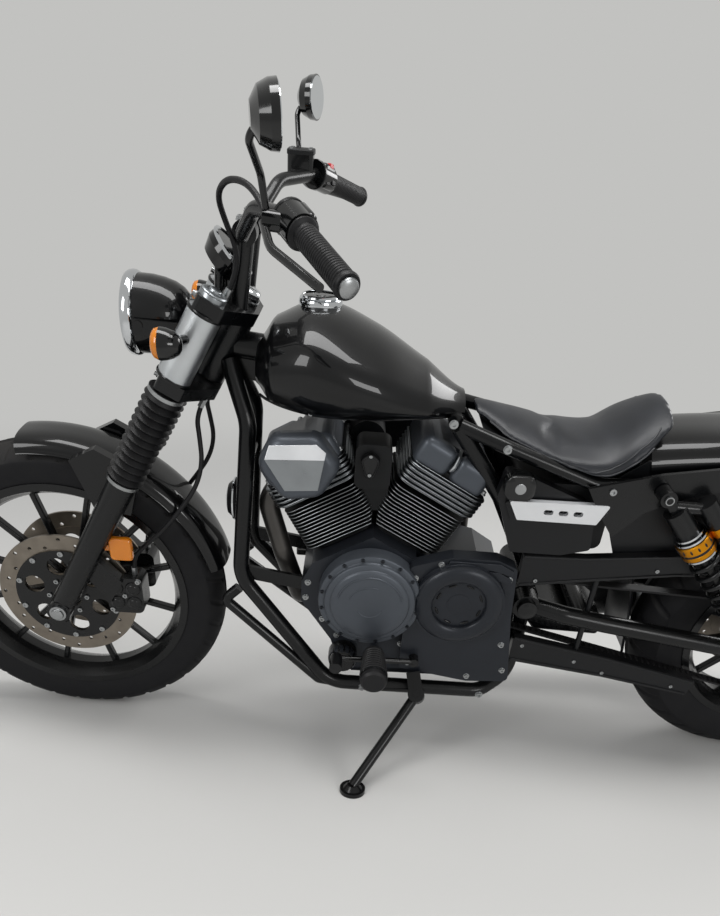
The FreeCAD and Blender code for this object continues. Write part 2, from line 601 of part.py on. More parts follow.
HEX_AT = (1074.0, 701.0)
inner_hex = [(HEX_AT[0] + (x - HEX_AT[0]) * 0.8, HEX_AT[1] + (z - HEX_AT[1]) * 0.76) for x, z in HEX]
cap_foot = disc(1063, 60, 664, 9, cap_y - 60)
cap_plate = rounded(plate(inner_hex, cap_y + 34, cap_y + 40), 5, along(Y))
air_box = block(850, 1060, -232, -150, 630, 770, 50)
air_stub = rod(vec(950, -152, 690), vec(950, -40, 690), 36)
air_cleaner = fuse([rounded(air_box, 8, lambda e: abs(e.CenterOfMass.y + 232) < 1), air_stub])
intake_cap = rounded(plate([(926, 704), (944, 718), (962, 704), (951, 668), (937, 668)], 84, 94), 6, along(Y))
throttle_body = fuse([block(905, 960, -40, 70, 590, 700, 12), block(904, 972, 20, 84, 640, 728, 16), intake_cap])

front_header = [vec(1100, 28, 620), vec(1146, 36, 594), vec(1108, 48, 470), vec(1075, 0, 335), vec(1032, -122, 290)]
front_header += [vec(960, -170, 255), vec(720, -174, 240)]
front_pipe = pipe(front_header, 20, 45)
rear_header = [vec(790, -80, 650), vec(775, -155, 640), vec(722, -180, 540), vec(716, -180, 380), vec(740, -174, 246)]
rear_pipe = pipe(rear_header, 20, 45)
collector = cone(vec(745, -172, 240), vec(560, -198, 240), 34, 44)
muffler = cone(vec(560, -198, 240), vec(-60, -208, 300), 46, 54)
TIP_END = vec(-110, -208, 305)
TIP_BORE_R = 32.0
TIP_BORE_LONG = 45.0
tip_way = (TIP_END - vec(-60, -208, 300)).normalize()
muffler_tip = rod(vec(-60, -208, 300), TIP_END, 40)
tip_bore = rod(TIP_END - tip_way * TIP_BORE_LONG, TIP_END + tip_way, TIP_BORE_R)
exhaust = fuse([front_pipe, rear_pipe, collector, muffler, muffler_tip]).cut(tip_bore)

# Tank and seat

TANK = [
    (1158, 876, 816, 62, 50, 90, 30),
    (1130, 915, 794, 112, 84, 170, 46),
    (1050, 946, 782, 146, 108, 210, 60),
    (950, 914, 782, 142, 106, 200, 56),
    (850, 858, 784, 102, 84, 150, 40),
    (778, 812, 780, 46, 40, 80, 20),
]
SEAT = [
    (756, 798, 781, 34, 30, 60, 12),
    (692, 784, 756, 82, 74, 150, 14),
    (590, 764, 729, 114, 100, 240, 18),
    (510, 764, SEAT_PAN_Z, 122, 108, 250, 24),
    (455, 800, 746, 118, 104, 230, 26),
    (404, 828, 799, 86, 80, 150, 14),
]
tank_skin = loft([section(*row) for row in TANK])
tunnel = pipe([vec(HEAD_X + 60, 0, 871.6), vec(1050, 0, 852), vec(740, 0, 775.2)], BACKBONE_R + 0.4, 200)
tunnel_slot = box(740, HEAD_X + 60, -BACKBONE_R - 0.4, BACKBONE_R + 0.4, 760, 815)
steering_space = rod(on_fork(800, 0, 0), on_fork(1150, 0, 0), HEAD_R + 12)
fuel_tank = tank_skin.cut(tunnel).cut(tunnel_slot).cut(steering_space)
fuel_cap = turned([(0, 0), (36, 0), (36, 8), (32, 13), (0, 14)], vec(1050, 0, 943), Z)
seat = loft([section(*row) for row in SEAT])

# Tail

strut_outline = [(515, 648), (545, 694), (420, 730), (200, 770), (20, 778), (10, 755), (200, 737), (360, 690)]
strut_outline += [(430, 655), (478, 600)]
strut = plate(strut_outline, STRUT_Y, STRUT_Y + 8)
shock_top = vec(410, SHOCK_Y, 700)
shock_low = vec(110, SHOCK_Y, REAR_R + 49)
PIN_R = 6.0
top_pin = disc(shock_top.x, STRUT_Y + 2, shock_top.z, PIN_R, SHOCK_Y + 20 - STRUT_Y)
strut_foot = [rod(vec(x, 100, z), vec(x, STRUT_Y + 2, z), 9) for x, z in ((500, 692), (180, 745))]
fender_struts = group(both(fuse([strut, top_pin] + strut_foot)))


def tail_at(angle, out, y=0.0):
    """Point on the tail, out from the fender's skin, at an angle about its centre."""
    turn = math.radians(angle)
    r = REAR_FENDER_R + out
    return vec(rear_x + r * math.cos(turn), y, rear_top + r * math.sin(turn))


lamp_mid = tail_at(141.3, 35.6)
tail_light = rounded(block(lamp_mid.x - 22, lamp_mid.x + 21, -45, 45, lamp_mid.z - 26, lamp_mid.z + 26, 12, X), 4, along(Y))
mount_corners = [(20, -24), (44, -24), (78, 19), (20, 19)]
tail_mount = plate([(lamp_mid.x + x, lamp_mid.z + z) for x, z in mount_corners], -20, 20)
fender_space = disc(rear_x, -REAR_FENDER_HALF, rear_top, REAR_FENDER_R + 3.3, 2 * REAR_FENDER_HALF)
rear_light = fuse([tail_light, tail_mount.cut(fender_space)])
rear_signal_at = tail_at(145.2, -28.3, 156)
rear_stalk = rod(rear_signal_at - vec(-4, 64, 0), rear_signal_at - vec(2, 20, 0), 8)
rear_signal = turned([(0, -28), (14, -25), (24, -8), (26, 8), (0, 8)], rear_signal_at, vec(-1, 0, 0))
rear_lens = turned([(0, 8), (25, 8), (22, 18), (0, 22)], rear_signal_at, vec(-1, 0, 0))
rear_signals = group(both(fuse([rear_stalk, rear_signal])) + both(rear_lens))
tail_end = tail_at(FENDER_TAIL, 0)
holder_corners = [(17.7, 13), (-37, -147), (-44, -144), (1.7, 13)]
plate_corners = [(0.7, -17), (-46, -152), (-50, -150), (-3, -15)]
holder = plate([(tail_end.x + x, tail_end.z + z) for x, z in holder_corners], -60, 60)
number_plate = plate([(tail_end.x + x, tail_end.z + z) for x, z in plate_corners], -95, 95)
plate_holder = fuse([holder, number_plate])

# Under the seat

side_outline = [(704, 662), (694, 712), (640, 698), (540, 660), (515, 640), (505, 560), (560, 545), (660, 545)]
side_cover = rounded(plate(side_outline, 92, 118), 8, along(Y))
strip = rounded(plate([(690, 655), (672, 615), (520, 618), (504, 658)], 118, 126), 4, along(Y))
slots = [block(x - 9, x + 9, 110, 130, 631, 641, 4.5) for x in (558, 586, 614)]
left_strip = strip.cut(group(slots))
lock_cap = block(642, 698, 118, 140, 664, 712, 18)
side_covers = group(both(side_cover) + [left_strip, lock_cap])
electric_box = block(480, 660, -92, 92, 550, 682, 16)

# Final drive and rear suspension

swing_bend = [vec(520, 112, 402), vec(430, SWING_Y, 390)]
swing_path = [vec(PIVOT[0], 91, PIVOT[1])] + swing_bend + [vec(-30, SWING_Y + 4, REAR_R)]
swing_tube = pipe(swing_path, SWING_R, 60)
swing_ear = disc(PIVOT[0], 70, PIVOT[1], 28, 41)
swing_shaft = disc(PIVOT[0], -120, PIVOT[1], 12, 240)
swing_cap = disc(PIVOT[0], 111, PIVOT[1], 19, 8)
drop_outline = [(44, REAR_R - 26), (44, REAR_R + 30), (-62, REAR_R + 28), (-62, REAR_R - 26)]
drop_out = rounded(plate(drop_outline, SWING_Y - 6, SWING_Y + 14), 10, along(Y))
lug_corners = [(144, 12), (130, 49), (110, 65), (84, 57), (76, 7)]
shock_lug = plate([(x, REAR_R + z) for x, z in lug_corners], SWING_Y + 10, SWING_Y + 18)
low_pin = disc(shock_low.x, SWING_Y + 12, shock_low.z, PIN_R, SHOCK_Y + 18 - SWING_Y - 10)
swing_cross = rod(vec(480, -SWING_Y, 397), vec(480, SWING_Y, 397), SWING_R)
rear_axle = disc(0, -SWING_Y - 20, REAR_R, AXLE_R, 2 * SWING_Y + 40)
side_parts = [swing_tube, swing_ear, swing_cap, drop_out, shock_lug, low_pin]
swingarm = fuse(side_parts + [mirror(p) for p in side_parts] + [swing_shaft, swing_cross, rear_axle])
pivot_room = disc(PIVOT[0], -69.5, PIVOT[1], 200, 139)

BELT_THICK = 5.0
FRONT_PULLEY_R = 45.0
reach = math.hypot(pulley_at[0], pulley_at[1] - REAR_R)
tilt = math.degrees(math.atan2(pulley_at[1] - REAR_R, pulley_at[0]))
spread = math.degrees(math.asin((PULLEY_R - FRONT_PULLEY_R) / reach))


def belt_loop(extra):
    def point(x, z, r, angle):
        return vec(x + r * math.cos(math.radians(angle)), 0, z + r * math.sin(math.radians(angle)))
    top = tilt + 90 - spread
    low = tilt - 90 + spread
    big = PULLEY_R + extra
    small = FRONT_PULLEY_R + extra
    a = point(pulley_at[0], pulley_at[1], small, top)
    b = point(0, REAR_R, big, top)
    c = point(0, REAR_R, big, low)
    d = point(pulley_at[0], pulley_at[1], small, low)
    back = point(0, REAR_R, big, tilt + 180)
    nose = point(pulley_at[0], pulley_at[1], small, tilt)
    edges = [Part.makeLine(a, b), Part.Arc(b, back, c).toShape(), Part.makeLine(c, d), Part.Arc(d, nose, a).toShape()]
    return Part.Face(Part.Wire(edges)).extrude(vec(0, PULLEY_WIDE - 6, 0))


belt = belt_loop(BELT_THICK).cut(belt_loop(0.5))
belt.translate(vec(0, pulley_low + 3, 0))
front_pulley = disc(pulley_at[0], GEARBOX_Y, pulley_at[1], FRONT_PULLEY_R, 32)
drive_belt = group([belt, front_pulley])
guard_outline = [(630, 466), (630, 538), (505, 541), (420, 550), (320, 560), (200, 562), (80, 556), (60, 528), (200, 520)]
guard_outline += [(320, 512), (470, 490)]
guard_top = rounded(plate(guard_outline, 97, 115), 5, along(Y))
guard_low = rounded(plate([(612, 340), (612, 276), (400, 246), (200, 208), (190, 250), (400, 300)], 97, 115), 5, along(Y))
guard_bolts = [rod(vec(470, 106, z1), vec(470, 106, z2), 6) for z1, z2 in ((396, 500), (306, 396))]
belt_guards = fuse([guard_top, guard_low] + guard_bolts)

SHOCK_BODY = 0.68
shock_way = (shock_top - shock_low).normalize()
shock_long = (shock_top - shock_low).Length
body_from = shock_low + shock_way * (shock_long * SHOCK_BODY)
shock_parts = [rod(body_from, shock_top - shock_way * 36, 22), rod(shock_top - shock_way * 40, shock_top, 12)]
shock_parts.append(rod(shock_low, body_from, 8))
shock_parts += [disc(p.x, SHOCK_Y - 17, p.z, 15, 34) for p in (shock_low, shock_top)]
side_tank = shock_top + vec(-74, 0, -6)
shock_parts.append(rod(side_tank - shock_way * 118, side_tank, 19))
shock_parts.append(rod(side_tank - shock_way * 20, shock_top - shock_way * 26, 11))
shock_parts.append(rod(shock_low + shock_way * 25, shock_low + shock_way * 34, 33))
shock_holes = [disc(p.x, SWING_Y, p.z, PIN_R + 0.3, 80) for p in (shock_low, shock_top)]
shock = fuse(shock_parts).cut(group(shock_holes))
shocks = group(both(shock))
COIL_R = 27.0
COIL_WIRE = 5.0
COIL_TURNS = 10
collar_low = 34.0
collar_gap = 0.3
coil_from = collar_low + COIL_WIRE + collar_gap
coil_long = (body_from - shock_low).Length - COIL_WIRE - collar_gap - coil_from
helix = Part.makeHelix(coil_long / COIL_TURNS, coil_long, COIL_R)
coil_climb = coil_long / COIL_TURNS / (2 * math.pi * COIL_R)
wire_ring = Part.Wire([Part.makeCircle(COIL_WIRE, vec(COIL_R, 0, 0), vec(0, 1, coil_climb))])
coil = helix.makePipeShell([wire_ring], True, True)
coil.Placement = FreeCAD.Placement(shock_low + shock_way * coil_from, FreeCAD.Rotation(Z, shock_way))
collar = rod(body_from, body_from + shock_way * 34, 32).cut(rod(shock_low, shock_top, 22))
shock_springs = group(both(coil) + both(collar))

rear_caliper = block(60, 125, REAR_DISC_Y - 30, REAR_DISC_Y + 20, REAR_R + 62, REAR_R + 122, 14)
rear_caliper = rear_caliper.cut(disc(0, REAR_DISC_Y - disc_slot, REAR_R, DISC_R + 5, 2 * disc_slot))
bracket_corners = [(-18, 12), (20, -27), (60, 7), (125, 67), (60, 122), (55, 77)]
caliper_bracket = plate([(x, REAR_R + z) for x, z in bracket_corners], -110, -100)
rear_brake = fuse([rear_caliper, caliper_bracket])

# Foot controls and horn

PEG = (908.0, 316.0)
peg = turned([(0, 0), (14, 0), (20, 8), (28, 88), (26, 100), (0, 104)], vec(PEG[0], 166, PEG[1]), Y)
peg_arm = pipe([vec(900, RAIL_Y, RAIL_Z + 8), vec(904, RAIL_Y + 10, 270), vec(PEG[0], 182, PEG[1] - 4)], 9, 24)
toe_peg = turned([(0, 0), (12, 0), (13, 4), (13, 40), (0, 42)], vec(985, 172, 300), Y)
shift = fuse([toe_peg, rod(vec(985, 176, 300), vec(820, 150, 282), 6), rod(vec(820, 106, 282), vec(820, 156, 282), 10)])
pedal_arm = rod(vec(PEG[0], -216, 284), vec(1070, -222, 318), 7)
pedal_pad = block(1060, 1100, -258, -200, 318, 332, 6, Z)
pedal_pin = rod(vec(PEG[0], -132, 284), vec(PEG[0], -220, 284), 8)
brake_pedal = fuse([pedal_arm, pedal_pad, pedal_pin])
left_foot = fuse([peg, peg_arm])
foot_controls = group([left_foot, mirror(left_foot).fuse(brake_pedal), shift])
horn_face = turned([(0, 0), (40, 0), (42, 8), (30, 22), (0, 26)], vec(HEAD_X + 2, 0, 560), X)
horn = fuse([horn_face, rod(vec(HEAD_X + 6, 0, 560), vec(HEAD_X - 10, 0, 655), 6)])

# Side stand

STAND_PIVOT = vec(806, 162, 200)
STAND_AXIS = vec(0.1292, 0.6824, 0.7195)
STAND_FOOT = (933.0, 318.0)
EYE_R = 18.0
EYE_HALF = 10.0


def ground(x, y):
    """Height of the ground under a point of the upright drawing."""
    lift = REAR_LIFT - x * (REAR_LIFT - FRONT_LIFT) / WHEELBASE
    return y * math.tan(math.radians(LEAN)) - lift / math.cos(math.radians(LEAN))


def on_stand(along_pin):
    return STAND_PIVOT + STAND_AXIS * along_pin


up_ground = vec(0, -math.sin(math.radians(LEAN)), math.cos(math.radians(LEAN)))
foot_at = vec(STAND_FOOT[0], STAND_FOOT[1], ground(*STAND_FOOT))
foot_plate = rod(foot_at, foot_at + up_ground * 9, 27)
stand_leg = pipe([STAND_PIVOT, foot_at + up_ground * 14], 11)
stand_end = cone(foot_at + up_ground * 7, foot_at + up_ground * 18, 22, 12)
LUG_GAP = 7.0
LUG_THICK = 6.0
eye = rod(on_stand(-EYE_HALF), on_stand(EYE_HALF), EYE_R)
stand_hole = rod(on_stand(-60), on_stand(60), 7.5)
side_stand = fuse([stand_leg, eye, foot_plate, stand_end]).cut(stand_hole)
lug_from = EYE_HALF + LUG_GAP
lug_high = lug_from + LUG_THICK
to_rail = vec(0, RAIL_Y, RAIL_Z) - vec(0, STAND_PIVOT.y, STAND_PIVOT.z)
to_rail = (to_rail - STAND_AXIS * to_rail.dot(STAND_AXIS)).normalize()
lug_top = rod(on_stand(lug_from), on_stand(lug_high), EYE_R)
lug_low = rod(on_stand(-lug_high), on_stand(-lug_from), EYE_R)
lug_pin = rod(on_stand(-lug_high - 2), on_stand(lug_high + 2), 7)


def stand_box(near, far, low, high, half):
    """Block on the stand bracket: distances from the pivot towards the rail and along the pin."""
    side = STAND_AXIS.cross(to_rail)
    outline = ((near, -half), (far, -half), (far, half), (near, half))
    corners = [STAND_PIVOT + to_rail * d + side * w + STAND_AXIS * low for d, w in outline]
    return Part.Face(Part.makePolygon(corners + corners[:1])).extrude(STAND_AXIS * (high - low))


stand_web = stand_box(25, 48, -lug_high, lug_high, 15)
lug_arms = [stand_box(4, 30, lug_from, lug_high, 15), stand_box(4, 30, -lug_high, -lug_from, 15)]
stand_bracket = fuse([lug_top, lug_low, lug_pin, stand_web] + lug_arms)
frame_rails = fuse([rail, mirror(rail), pivot_tube, rear_lug, mirror(rear_lug), low_cross, stand_bracket]).cut(pivot_hole)

NODES = {
    "front_tyre": front_tyre,
    "front_wheel": front_wheel,
    "front_discs": front_discs,
    "rear_tyre": rear_tyre,
    "rear_wheel": rear_wheel,
    "rear_disc": rear_disc,
    "fork_legs": fork_legs,
    "fork_clamps": fork_clamps,
    "fork_gaiters": fork_gaiters,
    "fork_covers": fork_covers,
    "front_fender": front_fender,
    "headlight_shell": headlight_shell,
    "headlight_lens": group([headlight_ring, headlight_lens]),
    "front_signals": front_signals,
    "handlebar": handlebar,
    "grips": grips,
    "hand_controls": hand_controls,
    "mirrors": mirrors,
    "mirror_glass": mirror_glass,
    "instrument": instrument,
    "front_calipers": front_calipers,
    "reflectors": reflectors,
    "hose_left": hose_left,
    "hose_right": mirror(hose_left),
    "clutch_cable": clutch_cable,
    "frame_main": frame_main,
    "frame_downtubes": frame_downtubes,
    "frame_rails": frame_rails,
    "seat_rails": seat_rails,
    "crankcase": crankcase,
    "cylinders": cylinders,
    "head_covers": head_covers,
    "generator_cover": generator_cover,
    "pulley_cover": pulley_cover,
    "clutch_cover": clutch_cover,
    "side_cap": group([fuse([side_cap, cap_foot]), cap_plate]),
    "air_cleaner": air_cleaner,
    "throttle_body": throttle_body,
    "exhaust": exhaust,
    "fuel_tank": fuel_tank,
    "fuel_cap": fuel_cap,
    "seat": seat,
    "rear_fender": rear_fender,
    "fender_struts": fender_struts,
    "rear_light": rear_light,
    "rear_signals": rear_signals,
    "plate_holder": plate_holder,
    "side_covers": side_covers,
    "electric_box": electric_box,
    "swingarm": swingarm.cut(pivot_room.cut(swing_shaft).cut(swing_cross).cut(group(both(swing_tube)))),
    "drive_belt": drive_belt,
    "belt_guards": belt_guards,
    "shocks": shocks,
    "shock_springs": shock_springs,
    "rear_brake": rear_brake,
    "foot_controls": foot_controls,
    "horn": horn,
    "side_stand": side_stand,
}

# Each piece is coped to the pieces it is bolted or welded against
COPED = {
    "fork_clamps": ["fork_legs", "fork_covers"],
    "front_fender": ["fork_legs", "fork_gaiters"],
    "headlight_shell": ["fork_clamps"],
    "front_signals": ["fork_covers", "fork_legs"],
    "handlebar": ["fork_clamps"],
    "hand_controls": ["handlebar", "grips"],
    "mirrors": ["hand_controls"],
    "instrument": ["fork_clamps", "handlebar"],
    "front_calipers": ["fork_legs"],
    "reflectors": ["fork_legs"],
    "clutch_cable": ["hand_controls"],
    "frame_downtubes": ["frame_main"],
    "frame_rails": ["frame_main", "frame_downtubes"],
    "seat_rails": ["frame_main", "frame_rails"],
    "pulley_cover": ["crankcase", "generator_cover", "frame_rails"],
    "side_cap": ["cylinders", "head_covers"],
    "throttle_body": ["cylinders", "head_covers"],
    "exhaust": ["cylinders", "crankcase", "frame_downtubes", "frame_rails"],
    "air_cleaner": ["cylinders", "head_covers", "throttle_body"],
    "fuel_cap": ["fuel_tank"],
    "fuel_tank": ["frame_main"],
    "seat": ["seat_rails", "frame_main", "frame_rails"],
    "fender_struts": ["seat_rails", "rear_fender"],
    "rear_signals": ["rear_fender"],
    "plate_holder": ["rear_fender"],
    "side_covers": ["frame_rails", "seat_rails"],
    "electric_box": ["frame_rails", "seat_rails"],
    "belt_guards": ["swingarm", "pulley_cover"],
    "drive_belt": ["crankcase"],
    "rear_brake": ["swingarm"],
    "shock_springs": ["shocks"],
    "foot_controls": ["frame_rails", "crankcase", "side_covers", "clutch_cover", "pulley_cover"],
    "horn": ["frame_downtubes"],
}
for name, others in COPED.items():
    for other in others:
        NODES[name] = NODES[name].cut(NODES[other])

# Setting down: both tyres touch the ground at the lean

nose_down = math.degrees((REAR_LIFT - FRONT_LIFT) / WHEELBASE)
lean_turn = FreeCAD.Placement(vec(0, 0, 0), FreeCAD.Rotation(X, -LEAN))
level_turn = FreeCAD.Placement(vec(-MID_X, -MID_Y, REAR_LIFT), FreeCAD.Rotation(Y, nose_down))
stance = level_turn.multiply(lean_turn)

os.makedirs("parts", exist_ok=True)
for name, shape in NODES.items():
    placed = shape.copy()
    placed.Placement = stance.multiply(placed.Placement)
    placed.exportStep("parts/" + name + ".step")
    print(name, placed.isValid(), len(placed.Solids), round(placed.Volume / 1000))
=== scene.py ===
import math

import bmesh
import bpy
from mathutils import Matrix, Vector
from mathutils.bvhtree import BVHTree


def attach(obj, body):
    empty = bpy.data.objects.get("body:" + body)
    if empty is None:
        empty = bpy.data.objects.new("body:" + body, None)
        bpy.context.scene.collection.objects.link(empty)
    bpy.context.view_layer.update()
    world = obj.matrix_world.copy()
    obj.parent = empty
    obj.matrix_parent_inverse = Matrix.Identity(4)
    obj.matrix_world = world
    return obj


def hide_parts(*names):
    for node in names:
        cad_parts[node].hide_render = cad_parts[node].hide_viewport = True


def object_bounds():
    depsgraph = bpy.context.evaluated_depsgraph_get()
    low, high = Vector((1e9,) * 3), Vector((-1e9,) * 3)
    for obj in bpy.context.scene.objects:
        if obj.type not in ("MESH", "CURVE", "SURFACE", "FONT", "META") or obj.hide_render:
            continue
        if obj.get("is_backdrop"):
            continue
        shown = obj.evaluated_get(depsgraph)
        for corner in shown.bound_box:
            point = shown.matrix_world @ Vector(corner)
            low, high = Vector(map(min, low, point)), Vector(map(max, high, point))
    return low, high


# A cruiser motorcycle on its side stand. Pieces are drawn upright in millimetres,
# rear axle above x = 0, and then set down leaning with the park matrix.
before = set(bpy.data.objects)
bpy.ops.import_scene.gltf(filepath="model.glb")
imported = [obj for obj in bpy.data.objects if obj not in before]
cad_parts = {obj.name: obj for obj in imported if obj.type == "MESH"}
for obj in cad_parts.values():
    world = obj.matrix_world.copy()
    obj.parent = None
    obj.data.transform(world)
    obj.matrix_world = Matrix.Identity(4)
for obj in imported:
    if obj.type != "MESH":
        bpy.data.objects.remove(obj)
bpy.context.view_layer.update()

stance = {"lean": 10.0, "midX": 764.9, "midY": 187.6, "rearCrown": 78.0, "frontCrown": 52.0,
          "wheelbase": 1570.0}
steer = {"rake": 29.0, "groundX": 1700.0, "legY": 97.0, "offset": 46.8}
leanTurn = math.radians(stance["lean"])
rearLift = stance["rearCrown"] * (1 - math.cos(leanTurn))
frontLift = stance["frontCrown"] * (1 - math.cos(leanTurn))
noseDown = (rearLift - frontLift) / stance["wheelbase"]
park = Matrix.Scale(0.001, 4) @ Matrix.Translation((-stance["midX"], -stance["midY"], rearLift))
park = park @ Matrix.Rotation(noseDown, 4, "Y") @ Matrix.Rotation(-leanTurn, 4, "X")
xAxis, yAxis, zAxis = Vector((1, 0, 0)), Vector((0, 1, 0)), Vector((0, 0, 1))
upFork = Vector((-math.sin(math.radians(steer["rake"])), 0, math.cos(math.radians(steer["rake"]))))
aheadFork = Vector((math.cos(math.radians(steer["rake"])), 0, math.sin(math.radians(steer["rake"]))))


def onFork(s, ahead, side):
    return Vector((steer["groundX"], side, 0)) + upFork * s + aheadFork * ahead


def toLinear(code):  # sRGB hex to linear colour
    parts = [int(code[k:k + 2], 16) / 255 for k in (1, 3, 5)]
    return tuple(c / 12.92 if c <= 0.04045 else ((c + 0.055) / 1.055) ** 2.4 for c in parts) + (1.0,)


def addNode(tree, kind, settings=None, inputs=None):
    node = tree.nodes.new(kind)
    for key, value in (settings or {}).items():
        setattr(node, key, value)
    for key, value in (inputs or {}).items():
        if isinstance(value, bpy.types.NodeSocket):
            tree.links.new(value, node.inputs[key])
        else:
            node.inputs[key].default_value = value
    return node


times = {"operation": "MULTIPLY"}


# Materials

def finishOf(name, look):
    # Two tones in patches, a roughness that follows them, a fine grain in relief, dust on what faces up
    mat = bpy.data.materials.new(name)
    mat.use_nodes = True
    tree = mat.node_tree
    tree.nodes.clear()
    place = addNode(tree, "ShaderNodeTexCoord").outputs["Object"]
    patchScale, grainScale = 1000 / look.get("patchMm", 60), 1000 / look.get("grainMm", 1.2)
    patch = addNode(tree, "ShaderNodeTexNoise", inputs={"Vector": place, "Scale": patchScale,
            "Detail": 5.0}).outputs["Fac"]
    grain = addNode(tree, "ShaderNodeTexNoise", inputs={"Vector": place, "Scale": grainScale,
            "Detail": 3.0}).outputs["Fac"]
    tones = {"Factor": patch, "A": toLinear(look["dark"]), "B": toLinear(look["light"])}
    colour = addNode(tree, "ShaderNodeMix", {"data_type": "RGBA"}, tones).outputs["Result"]
    low, high = look["rough"]
    span = {"Value": patch, "From Min": 0.3, "From Max": 0.7, "To Min": low, "To Max": high}
    rough = addNode(tree, "ShaderNodeMapRange", inputs=span)
    if look.get("dust"):
        normal = addNode(tree, "ShaderNodeNewGeometry").outputs["Normal"]
        up = addNode(tree, "ShaderNodeSeparateXYZ", inputs={0: normal}).outputs["Z"]
        span = {"Value": up, "From Min": 0.1, "From Max": 1.0, "To Min": 0.0, "To Max": look["dust"]}
        upward = addNode(tree, "ShaderNodeMapRange", inputs=span)
        speck = addNode(tree, "ShaderNodeMath", times, {0: upward.outputs[0], 1: grain}).outputs[0]
        tones = {"Factor": speck, "A": colour, "B": toLinear("#8d867a")}
        colour = addNode(tree, "ShaderNodeMix", {"data_type": "RGBA"}, tones).outputs["Result"]
    relief = {"Height": grain, "Strength": look.get("relief", 0.1), "Distance": 0.0004}
    bump = addNode(tree, "ShaderNodeBump", inputs=relief)
    shader = addNode(tree, "ShaderNodeBsdfPrincipled", inputs={
        "Base Color": colour, "Roughness": rough.outputs[0], "Normal": bump.outputs[0],
        "Metallic": look.get("metal", 0.0), "Specular IOR Level": look.get("specular", 0.5),
        "Coat Weight": look.get("coat", 0.0), "Coat Roughness": look.get("coatRough", 0.03)})
    if look.get("clear"):
        shader.inputs["Transmission Weight"].default_value = look["clear"]
        shader.inputs["IOR"].default_value = look["ior"]
    addNode(tree, "ShaderNodeOutputMaterial", inputs={"Surface": shader.outputs[0]})
    return mat


